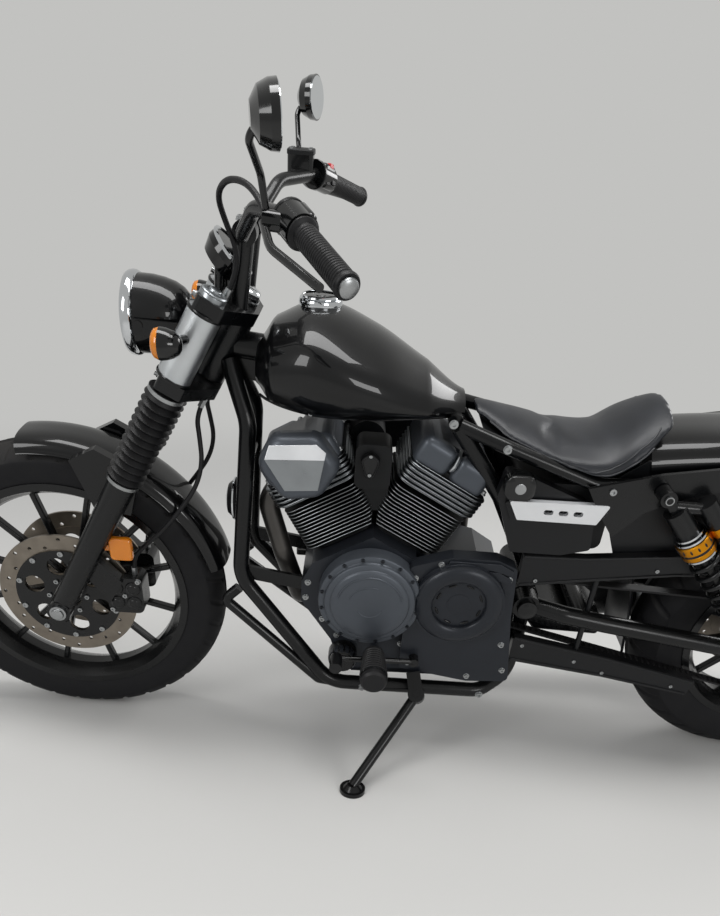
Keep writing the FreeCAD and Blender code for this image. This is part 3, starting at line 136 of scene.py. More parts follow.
finishes = {
    # Two-stage automotive enamel: near black under a clear coat, mirror-like, a trace of dust on top
    "enamelBlack": {"dark": "#020203", "light": "#040507", "rough": (0.3, 0.36), "specular": 0.1, "coat": 0.6,
                    "coatRough": 0.02, "grainMm": 2.5, "relief": 0.006, "dust": 0.015},
    # Powder coat on steel tube: soft highlight, slight orange peel
    "powderBlack": {"dark": "#050607", "light": "#090a0c", "rough": (0.2, 0.3), "specular": 0.32,
                    "grainMm": 1.8, "relief": 0.05, "dust": 0.02},
    # Semi-gloss lacquer on cast wheels and forks
    "lacquerBlack": {"dark": "#050607", "light": "#090a0c", "rough": (0.22, 0.32), "specular": 0.3,
                     "coat": 0.15, "coatRough": 0.1, "grainMm": 1.5, "relief": 0.04, "dust": 0.02},
    # Cast aluminium under dark grey metallic paint: fine sand-cast grain
    "castGrey": {"dark": "#41454b", "light": "#50555c", "rough": (0.36, 0.44), "metal": 0.45, "specular": 0.4,
                 "grainMm": 0.9, "relief": 0.12, "dust": 0.05, "patchMm": 90},
    # Pulley cover casting under darker paint, a little smoother
    "castDark": {"dark": "#1c1f24", "light": "#272a30", "rough": (0.3, 0.38), "metal": 0.3, "specular": 0.35,
                 "grainMm": 1.1, "relief": 0.1, "dust": 0.02, "patchMm": 90},
    # Black painted cylinder casting, matte
    "castBlack": {"dark": "#070809", "light": "#0d0e10", "rough": (0.44, 0.56), "specular": 0.25,
                  "grainMm": 0.9, "relief": 0.2, "dust": 0.02},
    # Machined aluminium, bright cut edges; on the side cap's lower facet its darker tone is painted shade
    "machinedAluminium": {"dark": "#7c8083", "light": "#a0a4a7", "rough": (0.25, 0.36), "metal": 1.0,
                          "grainMm": 0.5, "relief": 0.06},
    # Brushed and lightly weathered aluminium sheet
    "brushedAluminium": {"dark": "#b4b8bb", "light": "#d4d7d9", "rough": (0.3, 0.4), "metal": 1.0,
                         "grainMm": 0.4, "relief": 0.1},
    # Silver lacquer over aluminium, the brightest trim on the left side; on the side cap's upper facet it is
    # a painted highlight
    "satinSilver": {"dark": "#cfd1d3", "light": "#e6e7e9", "rough": (0.32, 0.4), "metal": 0.55,
                    "grainMm": 0.5, "relief": 0.06},
    # Polished chrome plate
    "chromePlate": {"dark": "#c4c7ca", "light": "#d8dadc", "rough": (0.05, 0.1), "metal": 1.0, "grainMm": 3,
                    "relief": 0.01},
    # Ground brake-disc steel, tinted brown by heat
    "discSteel": {"dark": "#6a635b", "light": "#938b80", "rough": (0.3, 0.42), "metal": 1.0, "grainMm": 0.6,
                  "relief": 0.15, "patchMm": 25},
    # Stainless exhaust header, dulled brown-grey by heat
    "headerSteel": {"dark": "#3b3a39", "light": "#5b5855", "rough": (0.3, 0.44), "metal": 0.9, "grainMm": 1.2,
                    "relief": 0.1, "patchMm": 80},
    # Zinc-plated fasteners
    "zincSteel": {"dark": "#8b8d8e", "light": "#b0b2b3", "rough": (0.25, 0.4), "metal": 1.0, "grainMm": 0.8,
                  "relief": 0.08},
    # Gold anodised aluminium of the shock collars
    "anodisedGold": {"dark": "#b3700c", "light": "#d6901c", "rough": (0.28, 0.36), "metal": 1.0,
                     "grainMm": 0.8, "relief": 0.05},
    # Tyre rubber: dull black with road dust
    "tyreRubber": {"dark": "#0a0a0c", "light": "#121215", "rough": (0.6, 0.76), "specular": 0.25,
                   "grainMm": 1.0, "relief": 0.2, "dust": 0.1, "patchMm": 40},
    # Moulded grip and gaiter rubber
    "mouldedRubber": {"dark": "#08080a", "light": "#0e0e11", "rough": (0.42, 0.54), "specular": 0.3,
                      "grainMm": 0.8, "relief": 0.15, "dust": 0.03},
    # Grained ABS covers
    "grainedAbs": {"dark": "#08090b", "light": "#0e0f12", "rough": (0.3, 0.42), "specular": 0.3,
                   "grainMm": 0.8, "relief": 0.14, "dust": 0.02},
    # Moulded gloss ABS
    "glossAbs": {"dark": "#040506", "light": "#08090a", "rough": (0.1, 0.16), "specular": 0.3, "coat": 0.4,
                 "grainMm": 3, "relief": 0.01, "dust": 0.01},
    # Vinyl seat skin with a fine leather grain; its slight blue tint is a painted sky reflection
    "seatVinyl": {"dark": "#0d0f14", "light": "#161a21", "rough": (0.36, 0.46), "specular": 0.42,
                  "grainMm": 1.6, "relief": 0.35, "dust": 0.02, "patchMm": 45},
    # Polyester seam thread, a shade lighter than the skin
    "seamThread": {"dark": "#1d1f23", "light": "#2a2c31", "rough": (0.6, 0.7), "grainMm": 0.5, "relief": 0.3},
    # Amber polycarbonate
    "amberLens": {"dark": "#e07a10", "light": "#f49a20", "rough": (0.12, 0.2), "clear": 0.35, "ior": 1.58,
                  "grainMm": 3, "relief": 0.03},
    # Red polycarbonate
    "redLens": {"dark": "#8e0b0c", "light": "#b01214", "rough": (0.12, 0.2), "clear": 0.25, "ior": 1.58,
                "grainMm": 3, "relief": 0.03},
    # Red ABS of the stop switch
    "redAbs": {"dark": "#a8141a", "light": "#c41c22", "rough": (0.3, 0.4), "grainMm": 1, "relief": 0.1},
    # Clear lamp glass
    "lampGlass": {"dark": "#f4f6f7", "light": "#ffffff", "rough": (0.02, 0.04), "clear": 0.95, "ior": 1.5,
                  "grainMm": 5, "relief": 0.01},
    # Silvered reflector and mirror glass
    "silveredGlass": {"dark": "#cfd3d6", "light": "#dde0e2", "rough": (0.02, 0.04), "metal": 1.0,
                      "grainMm": 5, "relief": 0.0},
    # Bare painted plate
    "paintedPlate": {"dark": "#d4d4d0", "light": "#dededa", "rough": (0.4, 0.5), "grainMm": 1,
                     "relief": 0.05},
}
materials = {name: finishOf(name, look) for name, look in finishes.items()}
print("materials", len(materials))


# Helpers for meshes

def piece(name, bm, finish, body, slot, replaces=(), sharp=32, bevel=0.0, subdivide=0):
    mesh = bpy.data.meshes.new(name)
    bmesh.ops.recalc_face_normals(bm, faces=bm.faces)
    bm.transform(park)
    bm.to_mesh(mesh)
    bm.free()
    mesh.shade_smooth()
    mesh.set_sharp_from_angle(angle=math.radians(sharp))
    ob = bpy.data.objects.new(name, mesh)
    bpy.context.scene.collection.objects.link(ob)
    mesh.materials.append(materials[finish])
    if bevel:
        mod = ob.modifiers.new("Bevel", "BEVEL")
        mod.width, mod.segments, mod.limit_method = bevel / 1000, 3, "ANGLE"
        mod.angle_limit, mod.harden_normals = math.radians(30), False
    if subdivide:
        mod = ob.modifiers.new("Subdivision", "SUBSURF")
        mod.levels = mod.render_levels = subdivide
    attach(ob, body)
    if replaces:
        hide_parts(*replaces)
    return ob


def skinOf(rows):
    # Quads between closed rows of points that hold the same number, the first and last row filled
    bm = bmesh.new()
    made = [[bm.verts.new(p) for p in row] for row in rows]
    count = len(rows[0])
    for a, b in zip(made, made[1:]):
        for k in range(count):
            n = (k + 1) % count
            bm.faces.new((a[k], a[n], b[n], b[k]))
    bm.faces.new(list(reversed(made[0])))
    bm.faces.new(made[-1])
    return bm


def lathe(profile, centre, axis=yAxis, sides=64, bm=None):
    # Profile points are (radius, distance along the axis)
    bm = bm or bmesh.new()
    turn = axis.to_track_quat("Z", "Y").to_matrix()
    rings = []
    for r, d in profile:
        if r < 0.01:
            rings.append([bm.verts.new(centre + turn @ Vector((0, 0, d)))])
            continue
        ring = []
        for k in range(sides):
            t = 2 * math.pi * k / sides
            ring.append(bm.verts.new(centre + turn @ Vector((r * math.cos(t), r * math.sin(t), d))))
        rings.append(ring)
    for a, b in zip(rings, rings[1:]):
        for k in range(sides):
            n = (k + 1) % sides
            if len(a) == 1 and len(b) == 1:
                break
            if len(a) == 1:
                bm.faces.new((a[0], b[n], b[k]))
            elif len(b) == 1:
                bm.faces.new((a[k], a[n], b[0]))
            else:
                bm.faces.new((a[k], a[n], b[n], b[k]))
    return bm


def curveThrough(points, count):
    # Evenly shared points on the smooth NURBS line of a route
    data = bpy.data.curves.new("route", "CURVE")
    data.dimensions = "3D"
    spline = data.splines.new("NURBS")
    spline.points.add(len(points) - 1)
    for held, p in zip(spline.points, points):
        held.co = (*p, 1)
    spline.order_u = 3
    spline.use_endpoint_u = True
    spline.resolution_u = 24
    ob = bpy.data.objects.new("route", data)
    line = bpy.data.meshes.new_from_object(ob)
    found = [v.co.copy() for v in line.vertices]
    bpy.data.objects.remove(ob)
    bpy.data.meshes.remove(line)
    lengths = [0.0]
    for a, b in zip(found, found[1:]):
        lengths.append(lengths[-1] + (b - a).length)
    out = []
    k = 0
    for n in range(count):
        want = lengths[-1] * n / (count - 1)
        while k < len(lengths) - 2 and lengths[k + 1] < want:
            k += 1
        share = (want - lengths[k]) / max(1e-9, lengths[k + 1] - lengths[k])
        out.append(found[k].lerp(found[k + 1], min(1.0, share)))
    return out


def tube(line, radius, sides=12, bm=None, flat=1.0):
    # Round or flattened tube along a line
    bm = bm or bmesh.new()
    rings = []
    guide = None
    for k, p in enumerate(line):
        way = (line[min(k + 1, len(line) - 1)] - line[max(k - 1, 0)]).normalized()
        guide = guide or (zAxis if abs(way.z) < 0.9 else yAxis)
        side = way.cross(guide).normalized()
        guide = side.cross(way).normalized()
        ring = []
        for n in range(sides):
            t = 2 * math.pi * n / sides
            across, rise = side * (radius * math.cos(t)), guide * (radius * flat * math.sin(t))
            ring.append(bm.verts.new(p + across + rise))
        rings.append(ring)
    for a, b in zip(rings, rings[1:]):
        for n in range(sides):
            m = (n + 1) % sides
            bm.faces.new((a[n], a[m], b[m], b[n]))
    bm.faces.new(list(reversed(rings[0])))
    bm.faces.new(rings[-1])
    return bm


def slab(outline, y1, y2, bm=None):
    # Flat plate from x, z points, between two distances from the middle plane
    bm = bm or bmesh.new()
    a = [bm.verts.new((x, y1, z)) for x, z in outline]
    b = [bm.verts.new((x, y2, z)) for x, z in outline]
    count = len(outline)
    for k in range(count):
        n = (k + 1) % count
        bm.faces.new((a[k], a[n], b[n], b[k]))
    bm.faces.new(list(reversed(a)))
    bm.faces.new(b)
    return bm


def roundedOutline(points, radius, steps=5):
    # Corners of a closed outline turned into arcs
    out = []
    count = len(points)
    for k in range(count):
        p = Vector(points[k])
        a, b = Vector(points[k - 1]) - p, Vector(points[(k + 1) % count]) - p
        half = a.angle(b) / 2
        cut = min(radius / math.tan(half), a.length * 0.45, b.length * 0.45)
        r = cut * math.tan(half)
        middle = p + (a.normalized() + b.normalized()).normalized() * (r / math.sin(half))
        start = (p + a.normalized() * cut) - middle
        end = (p + b.normalized() * cut) - middle
        turn = start.angle_signed(end)
        for n in range(steps + 1):
            t = -turn * n / steps
            out.append((middle.x + start.x * math.cos(t) - start.y * math.sin(t),
                        middle.y + start.x * math.sin(t) + start.y * math.cos(t)))
    return out


def mirrored(bm):
    # The same piece on both sides of the middle plane
    copied = bmesh.ops.duplicate(bm, geom=bm.verts[:] + bm.edges[:] + bm.faces[:])
    made = [v for v in copied["geom"] if isinstance(v, bmesh.types.BMVert)]
    for v in made:
        v.co.y = -v.co.y
    flipped = [f for f in copied["geom"] if isinstance(f, bmesh.types.BMFace)]
    bmesh.ops.reverse_faces(bm, faces=flipped)
    return bm


def turnedPiece(name, profile, at, axis, sides, finish, body, slot, twin=False, **more):
    # A piece turned on a lathe, with its twin beyond the middle plane where it has one
    bm = lathe(profile, Vector(at), axis, sides)
    return piece(name, mirrored(bm) if twin else bm, finish, body, slot, **more)


def steppedRows(outline, middle, steps):
    # An x, z outline at several distances from the middle plane: steps are (share of its size, y)
    rows = []
    for share, y in steps:
        rows.append([Vector((middle[0] + (x - middle[0]) * share, y, middle[1] + (z - middle[1]) * share))
                     for x, z in outline])
    return rows


# Geometry Nodes: what repeats

def nodeTree(name, inputs):
    tree = bpy.data.node_groups.new(name, "GeometryNodeTree")
    tree.interface.new_socket("Geometry", in_out="INPUT", socket_type="NodeSocketGeometry")
    for label, kind, value in inputs:
        socket = tree.interface.new_socket(label, in_out="INPUT", socket_type=kind)
        if value is not None:
            socket.default_value = value
    tree.interface.new_socket("Geometry", in_out="OUTPUT", socket_type="NodeSocketGeometry")
    return tree, addNode(tree, "NodeGroupInput").outputs


def screwTree():
    # A socket-head screw on every point, its axis along the attribute "way"
    tree, given = nodeTree("screws", [("Head radius", "NodeSocketFloat", 0.005),
                                      ("Head height", "NodeSocketFloat", 0.004),
                                      ("Washer", "NodeSocketFloat", 1.3),
                                      ("Material", "NodeSocketMaterial", None)])
    head = addNode(tree, "GeometryNodeMeshCylinder", inputs={"Vertices": 20, "Radius": given["Head radius"],
            "Depth": given["Head height"]})
    socketR = addNode(tree, "ShaderNodeMath", times, {0: given["Head radius"], 1: 0.55})
    socket = addNode(tree, "GeometryNodeMeshCylinder", inputs={"Vertices": 6, "Radius": socketR.outputs[0],
            "Depth": given["Head height"]})
    lift = addNode(tree, "ShaderNodeMath", times, {0: given["Head height"], 1: 0.45})
    offset = addNode(tree, "ShaderNodeCombineXYZ", inputs={"Z": lift.outputs[0]})
    moved = addNode(tree, "GeometryNodeTransform", inputs={"Geometry": socket.outputs["Mesh"],
            "Translation": offset.outputs[0]})
    cut = addNode(tree, "GeometryNodeMeshBoolean", {"operation": "DIFFERENCE"},
                  {"Mesh 1": head.outputs["Mesh"], "Mesh 2": moved.outputs[0]})
    washerR = addNode(tree, "ShaderNodeMath", times, {0: given["Head radius"], 1: given["Washer"]})
    washerH = addNode(tree, "ShaderNodeMath", times, {0: given["Head height"], 1: 0.3})
    washer = addNode(tree, "GeometryNodeMeshCylinder", inputs={"Vertices": 20, "Radius": washerR.outputs[0],
            "Depth": washerH.outputs[0]})
    drop = addNode(tree, "ShaderNodeMath", times, {0: given["Head height"], 1: -0.5})
    under = addNode(tree, "ShaderNodeCombineXYZ", inputs={"Z": drop.outputs[0]})
    washerAt = addNode(tree, "GeometryNodeTransform", inputs={"Geometry": washer.outputs["Mesh"],
            "Translation": under.outputs[0]})
    screw = addNode(tree, "GeometryNodeJoinGeometry")
    tree.links.new(cut.outputs[0], screw.inputs[0])
    tree.links.new(washerAt.outputs[0], screw.inputs[0])
    way = addNode(tree, "GeometryNodeInputNamedAttribute", {"data_type": "FLOAT_VECTOR"}, {"Name": "way"})
    aim = addNode(tree, "FunctionNodeAlignRotationToVector", {"axis": "Z"},
                  {"Vector": way.outputs["Attribute"]})
    points = addNode(tree, "GeometryNodeInstanceOnPoints", inputs={"Points": given["Geometry"],
            "Instance": screw.outputs[0], "Rotation": aim.outputs[0]})
    real = addNode(tree, "GeometryNodeRealizeInstances", inputs={"Geometry": points.outputs[0]})
    painted = addNode(tree, "GeometryNodeSetMaterial", inputs={"Geometry": real.outputs[0],
            "Material": given["Material"]})
    addNode(tree, "NodeGroupOutput", inputs={"Geometry": painted.outputs[0]})
    return tree


def runTree(ob, tree, values):
    # The modifier's result becomes the piece's plain mesh
    mod = ob.modifiers.new("repeat", "NODES")
    mod.node_group = tree
    for item in tree.interface.items_tree:
        if item.item_type == "SOCKET" and item.in_out == "INPUT" and item.name in values:
            mod[item.identifier] = values[item.name]
    bpy.context.view_layer.update()
    made = bpy.data.meshes.new_from_object(ob.evaluated_get(bpy.context.evaluated_depsgraph_get()))
    ob.modifiers.clear()
    old = ob.data
    ob.data = made
    bpy.data.meshes.remove(old)
    return ob


def loopTree():
    # Rounded rectangular band at each point; the attribute "reach" trims it on one side
    tree, given = nodeTree("finEdges", [("Half length", "NodeSocketFloat", 80.0),
                                        ("Half width", "NodeSocketFloat", 80.0),
                                        ("Corner", "NodeSocketFloat", 24.0),
                                        ("Band width", "NodeSocketFloat", 1.6),
                                        ("Band height", "NodeSocketFloat", 2.0),
                                        ("Trim side", "NodeSocketFloat", 1.0),
                                        ("Material", "NodeSocketMaterial", None)])
    longSide = addNode(tree, "ShaderNodeMath", times, {0: given["Half length"], 1: 2.0}).outputs[0]
    wideSide = addNode(tree, "ShaderNodeMath", times, {0: given["Half width"], 1: 2.0}).outputs[0]
    box = addNode(tree, "GeometryNodeCurvePrimitiveQuadrilateral",
                  inputs={"Width": longSide, "Height": wideSide})
    soft = addNode(tree, "GeometryNodeFilletCurve", settings={"mode": "POLY"},
                   inputs={"Curve": box.outputs[0], "Radius": given["Corner"], "Count": 6})
    bar = addNode(tree, "GeometryNodeCurvePrimitiveQuadrilateral",
                  inputs={"Width": given["Band width"], "Height": given["Band height"]})
    band = addNode(tree, "GeometryNodeCurveToMesh", inputs={"Curve": soft.outputs[0],
            "Profile Curve": bar.outputs[0]})
    spread = addNode(tree, "GeometryNodeInstanceOnPoints", inputs={"Points": given["Geometry"],
            "Instance": band.outputs[0]})
    real = addNode(tree, "GeometryNodeRealizeInstances", inputs={"Geometry": spread.outputs[0]})
    reach = addNode(tree, "GeometryNodeInputNamedAttribute", {"data_type": "FLOAT"},
                    {"Name": "reach"}).outputs["Attribute"]
    place = addNode(tree, "ShaderNodeSeparateXYZ", inputs={0: addNode(tree,
            "GeometryNodeInputPosition").outputs[0]})
    turned = addNode(tree, "ShaderNodeMath", times, {0: place.outputs["X"], 1: given["Trim side"]}).outputs[0]
    least = addNode(tree, "ShaderNodeMath", {"operation": "MINIMUM"}, {0: turned, 1: reach}).outputs[0]
    back = addNode(tree, "ShaderNodeMath", times, {0: least, 1: given["Trim side"]}).outputs[0]
    spot = addNode(tree, "ShaderNodeCombineXYZ", inputs={"X": back, "Y": place.outputs["Y"],
            "Z": place.outputs["Z"]})
    moved = addNode(tree, "GeometryNodeSetPosition", inputs={"Geometry": real.outputs[0],
            "Position": spot.outputs[0]})
    painted = addNode(tree, "GeometryNodeSetMaterial", inputs={"Geometry": moved.outputs[0],
            "Material": given["Material"]})
    addNode(tree, "NodeGroupOutput", inputs={"Geometry": painted.outputs[0]})
    return tree


def studTree():
    # A small rounded bar on each point, turned along the attribute "way": stitches, teeth, and dark slot bars
    # that are painted shade
    tree, given = nodeTree("studs", [("Long", "NodeSocketFloat", 0.004), ("Wide", "NodeSocketFloat", 0.001),
                                     ("High", "NodeSocketFloat", 0.001),
                                     ("Material", "NodeSocketMaterial", None)])
    ball = addNode(tree, "GeometryNodeMeshUVSphere", inputs={"Segments": 8, "Rings": 6, "Radius": 0.5})
    size = addNode(tree, "ShaderNodeCombineXYZ", inputs={"X": given["Wide"], "Y": given["High"],
            "Z": given["Long"]})
    bar = addNode(tree, "GeometryNodeTransform", inputs={"Geometry": ball.outputs["Mesh"],
            "Scale": size.outputs[0]})
    way = addNode(tree, "GeometryNodeInputNamedAttribute", {"data_type": "FLOAT_VECTOR"}, {"Name": "way"})
    aim = addNode(tree, "FunctionNodeAlignRotationToVector", {"axis": "Z"},
                  {"Vector": way.outputs["Attribute"]})
    spread = addNode(tree, "GeometryNodeInstanceOnPoints", inputs={"Points": given["Geometry"],
            "Instance": bar.outputs[0], "Rotation": aim.outputs[0]})
    real = addNode(tree, "GeometryNodeRealizeInstances", inputs={"Geometry": spread.outputs[0]})
    painted = addNode(tree, "GeometryNodeSetMaterial", inputs={"Geometry": real.outputs[0],
            "Material": given["Material"]})
    addNode(tree, "NodeGroupOutput", inputs={"Geometry": painted.outputs[0]})
    return tree


screws, finEdges, studs = screwTree(), loopTree(), studTree()


def pointSet(name, places, body, tree, values):
    # places are (point, direction) in the upright drawing, values are the tree's inputs
    mesh = bpy.data.meshes.new(name)
    mesh.from_pydata([park @ Vector(p) for p, way in places], [], [])
    ways = mesh.attributes.new("way", "FLOAT_VECTOR", "POINT")
    for k, (p, way) in enumerate(places):
        ways.data[k].vector = (park.to_3x3() @ Vector(way)).normalized()
    ob = bpy.data.objects.new(name, mesh)
    bpy.context.scene.collection.objects.link(ob)
    runTree(ob, tree, values)
    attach(ob, body)
    return ob


def screwSet(name, places, radius=5.0, height=4.0, body="chassis", washer=1.3, finish="zincSteel"):
    values = {"Head radius": radius / 1000, "Head height": height / 1000, "Washer": washer,
              "Material": materials[finish]}
    ob = pointSet(name, places, body, screws, values)
    ob.data.set_sharp_from_angle(angle=math.radians(32))


def studSet(name, places, body, size, finish):
    # size is long, wide and high in millimetres
    long, wide, high = (v / 1000 for v in size)
    pointSet(name, places, body, studs, {"Long": long, "Wide": wide, "High": high,
            "Material": materials[finish]})


def onSide(spots, y):
    # Screw places that face away from the middle plane
    return [((x, y, z), (0, 1 if y > 0 else -1, 0)) for x, z in spots]


def ringOf(x, y, z, radius, count, start=0.0, way=(0, 1, 0)):
    out = []
    for k in range(count):
        t = math.radians(start + 360 * k / count)
        out.append(((x + radius * math.cos(t), y, z + radius * math.sin(t)), way))
    return out


# Finishes of the CAD nodes that stay

nodeFinish = {
    "front_wheel": "lacquerBlack", "rear_wheel": "lacquerBlack", "front_discs": "discSteel",
    "rear_disc": "discSteel",
    "fork_legs": "lacquerBlack", "fork_clamps": "lacquerBlack", "fork_gaiters": "mouldedRubber",
    "fork_covers": "brushedAluminium",
    "handlebar": "lacquerBlack", "frame_main": "powderBlack", "frame_downtubes": "powderBlack",
    "frame_rails": "powderBlack",
    "seat_rails": "powderBlack", "crankcase": "castDark", "cylinders": "castBlack", "head_covers": "castGrey",
    "generator_cover": "castGrey", "pulley_cover": "castDark", "clutch_cover": "castDark",
    "side_cap": "castGrey",
    "air_cleaner": "grainedAbs", "throttle_body": "castBlack", "exhaust": "headerSteel",
    "fuel_cap": "chromePlate",
    "fender_struts": "lacquerBlack", "rear_light": "redLens", "plate_holder": "grainedAbs",
    "side_covers": "grainedAbs",
    "electric_box": "castBlack", "swingarm": "powderBlack", "drive_belt": "mouldedRubber",
    "belt_guards": "grainedAbs",
    "shocks": "lacquerBlack", "shock_springs": "lacquerBlack", "rear_brake": "lacquerBlack",
    "foot_controls": "lacquerBlack",
    "horn": "grainedAbs", "side_stand": "powderBlack", "front_tyre": "tyreRubber", "rear_tyre": "tyreRubber",
    "front_fender": "enamelBlack", "headlight_shell": "enamelBlack", "headlight_lens": "chromePlate",
    "front_signals": "glossAbs",
    "grips": "mouldedRubber", "hand_controls": "glossAbs", "mirrors": "glossAbs",
    "mirror_glass": "silveredGlass",
    "instrument": "glossAbs", "front_calipers": "lacquerBlack", "reflectors": "amberLens",
    "fuel_tank": "enamelBlack",
    "seat": "seatVinyl", "rear_fender": "enamelBlack", "rear_signals": "glossAbs",
    "hose_left": "mouldedRubber", "hose_right": "mouldedRubber", "clutch_cable": "mouldedRubber",
}
for node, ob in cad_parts.items():
    ob.data.materials.clear()
    ob.data.materials.append(materials[nodeFinish[node]])


# Tyres: crowned tread with slanted grooves and a ring groove, plain bulged walls

tyres = {
    "front": {"axle": (1570.0, 331.0), "outer": 331.0, "crown": 52.0, "bead": 243.0, "half": 38.0,
              "pitches": 34, "depth": 3.6},
    "rear": {"axle": (0.0, 323.0), "outer": 323.0, "crown": 78.0, "bead": 206.0, "half": 58.0, "pitches": 30,
             "depth": 4.5},
}
tyreGrid = {"around": 720, "across": 46, "wall": 8, "wrap": math.radians(66), "bulge": 3.0}
groove = {"slant": 0.55, "half": 0.24, "soft": 0.10, "from": 0.16, "to": 0.93, "ends": 0.06,
          "ringAt": 0.07, "ringHalf": 0.045, "ringSoft": 0.03}


def ramp(value, width):
    return max(0.0, min(1.0, value / width))


def grooveDepth(u, v):
    # u runs across the tread from 0 to 1, v counts pattern pitches round the tyre
    side = abs(u - 0.5) * 2
    slope = v + (groove["slant"] * side + (0 if u > 0.5 else 0.5))
    gap = abs((slope % 1.0) - 0.5) * 2
    ends = ramp(side - groove["from"], groove["ends"]) * ramp(groove["to"] - side, groove["ends"])
    ring = ramp(groove["ringHalf"] - abs(side - groove["ringAt"]), groove["ringSoft"])
    return max(ramp(groove["half"] - gap, groove["soft"]) * ends, ring)


def tyrePiece(name, tread, body, node):
    crown, bead, half = tread["crown"], tread["bead"], tread["half"]
    around, across, wrap = tyreGrid["around"], tyreGrid["across"], tyreGrid["wrap"]
    ring = tread["outer"] - crown
    profile = []
    for k in range(across + 1):
        t = -wrap + 2 * wrap * k / across
        profile.append((ring + crown * math.cos(t), crown * math.sin(t), k / across))
    tipR, tipY = profile[-1][:2]
    wall = []
    for k in range(1, tyreGrid["wall"] + 1):
        share = k / tyreGrid["wall"]
        bulge = tyreGrid["bulge"] * math.sin(math.pi * share)
        wall.append((tipR + (bead + 2 - tipR) * share, tipY + (half - tipY) * share + bulge, None))
    section = [(r, -y, None) for r, y, u in reversed(wall)] + profile + wall
    bm = bmesh.new()

    def placed(r, y, turn):
        return bm.verts.new((tread["axle"][0] + r * math.cos(turn), y, tread["axle"][1] + r * math.sin(turn)))

    made, inner = [], []
    for n in range(around):
        turn = 2 * math.pi * n / around
        row = []
        for r, y, u in section:
            sunk = 0 if u is None else tread["depth"] * grooveDepth(u, n / around * tread["pitches"])
            row.append(placed(r - sunk, y, turn))
        made.append(row)
        inner.append([placed(bead - 1, y, turn) for y in (-half + 1, half - 1)])
    for n in range(around):
        row, ahead = made[n], made[(n + 1) % around]
        for k in range(len(section) - 1):
            bm.faces.new((row[k], row[k + 1], ahead[k + 1], ahead[k]))
        a, b = inner[n], inner[(n + 1) % around]
        bm.faces.new((a[0], a[1], b[1], b[0]))
        bm.faces.new((row[0], ahead[0], b[0], a[0]))
        bm.faces.new((row[-1], a[1], b[1], ahead[-1]))
    piece(name, bm, "tyreRubber", body, "tyre_rubber", [node], sharp=28)


for side, tread in tyres.items():
    tyrePiece(side + "Tyre", tread, side + "_wheel", side + "_tyre")
print("tyres")


# Tank and seat skins: rows are x, top, bottom, half width, half width below, crown radius, side radius

def acrossRow(x, top, bottom, half, lowHalf, crown, side, steps):
    turn = math.asin((half - side) / (crown - side))
    middle = top - crown + (crown - side) * math.cos(turn)
    right = []
    for k in range(steps[0] + 1):
        t = turn * k / steps[0]
        right.append((crown * math.sin(t), top - crown + crown * math.cos(t)))
    for k in range(1, steps[1] + 1):
        t = turn + (math.pi / 2 - turn) * k / steps[1]
        right.append((half - side + side * math.sin(t), middle + side * math.cos(t)))
    for k in range(1, steps[2] + 1):
        s = k / steps[2]
        right.append((half + (lowHalf - half) * s * s, middle + (bottom - middle) * s))
    full = right + [(lowHalf * (1 - s / 4), bottom) for s in (1, 2, 3, 4)]
    left = [(-y, z) for y, z in reversed(full[1:-1])]
    return [Vector((x, y, z)) for y, z in full + left]


def between(rows, count):
    # Catmull-Rom through the rows, evenly along x
    out = []
    start, end = rows[0][0], rows[-1][0]
    for n in range(count):
        x = start + (end - start) * n / (count - 1)
        k = max(j for j in range(len(rows) - 1) if (x - rows[j][0]) * (end - start) >= 0)
        t = (x - rows[k][0]) / (rows[k + 1][0] - rows[k][0])
        before, after = rows[max(k - 1, 0)], rows[min(k + 2, len(rows) - 1)]
        row = [x]
        for a, b, c, d in zip(before[1:], rows[k][1:], rows[k + 1][1:], after[1:]):
            curved = (2 * a - 5 * b + 4 * c - d) * t * t + (3 * b - 3 * c + d - a) * t ** 3
            row.append(0.5 * (2 * b + (c - a) * t + curved))
        out.append(row)
    return out


tank = {
    "rows": [(1158, 876, 816, 62, 50, 90, 30), (1130, 915, 794, 112, 84, 170, 46),
             (1050, 946, 782, 146, 108, 210, 60),
             (950, 914, 782, 142, 106, 200, 56), (850, 858, 784, 102, 84, 150, 40),
             (778, 812, 780, 46, 40, 80, 20)],
    "count": 64, "steps": (10, 8, 8), "noseShares": (0.12, 0.4), "noseOut": 2.0,
}
tankRows = [acrossRow(*row, tank["steps"]) for row in between(tank["rows"], tank["count"])]
nose = tankRows[0]
noseMid = sum(nose, Vector()) / len(nose)
for share in tank["noseShares"]:  # the front is closed by two smaller rows
    tankRows.insert(0, [noseMid + (p - noseMid) * (1 - share) + xAxis * (share * tank["noseOut"])
                        for p in nose])
piece("fuelTank", skinOf(tankRows), "enamelBlack", "chassis", "gloss_black", ["fuel_tank"], sharp=50)

seat = {
    "rows": [(756, 798, 781, 34, 30, 60, 12), (692, 784, 756, 82, 74, 150, 14),
             (590, 764, 729, 114, 100, 240, 18),
             (510, 764, 709, 122, 108, 250, 24), (455, 800, 746, 118, 104, 230, 26),
             (404, 828, 799, 86, 80, 150, 14)],
    "count": 44, "steps": (10, 8, 6),
    "voxelMm": 5.0, "pressure": 4.0, "frames": 20, "capMm": 2.5, "smoothing": 6,
    "seamProud": 0.4, "pipingR": 2.0, "seamR": 1.4, "stitchUp": 5.0, "stitch": (4.6, 1.2, 1.0),
}
seatRows = [acrossRow(*row, seat["steps"]) for row in between(seat["rows"], seat["count"])]


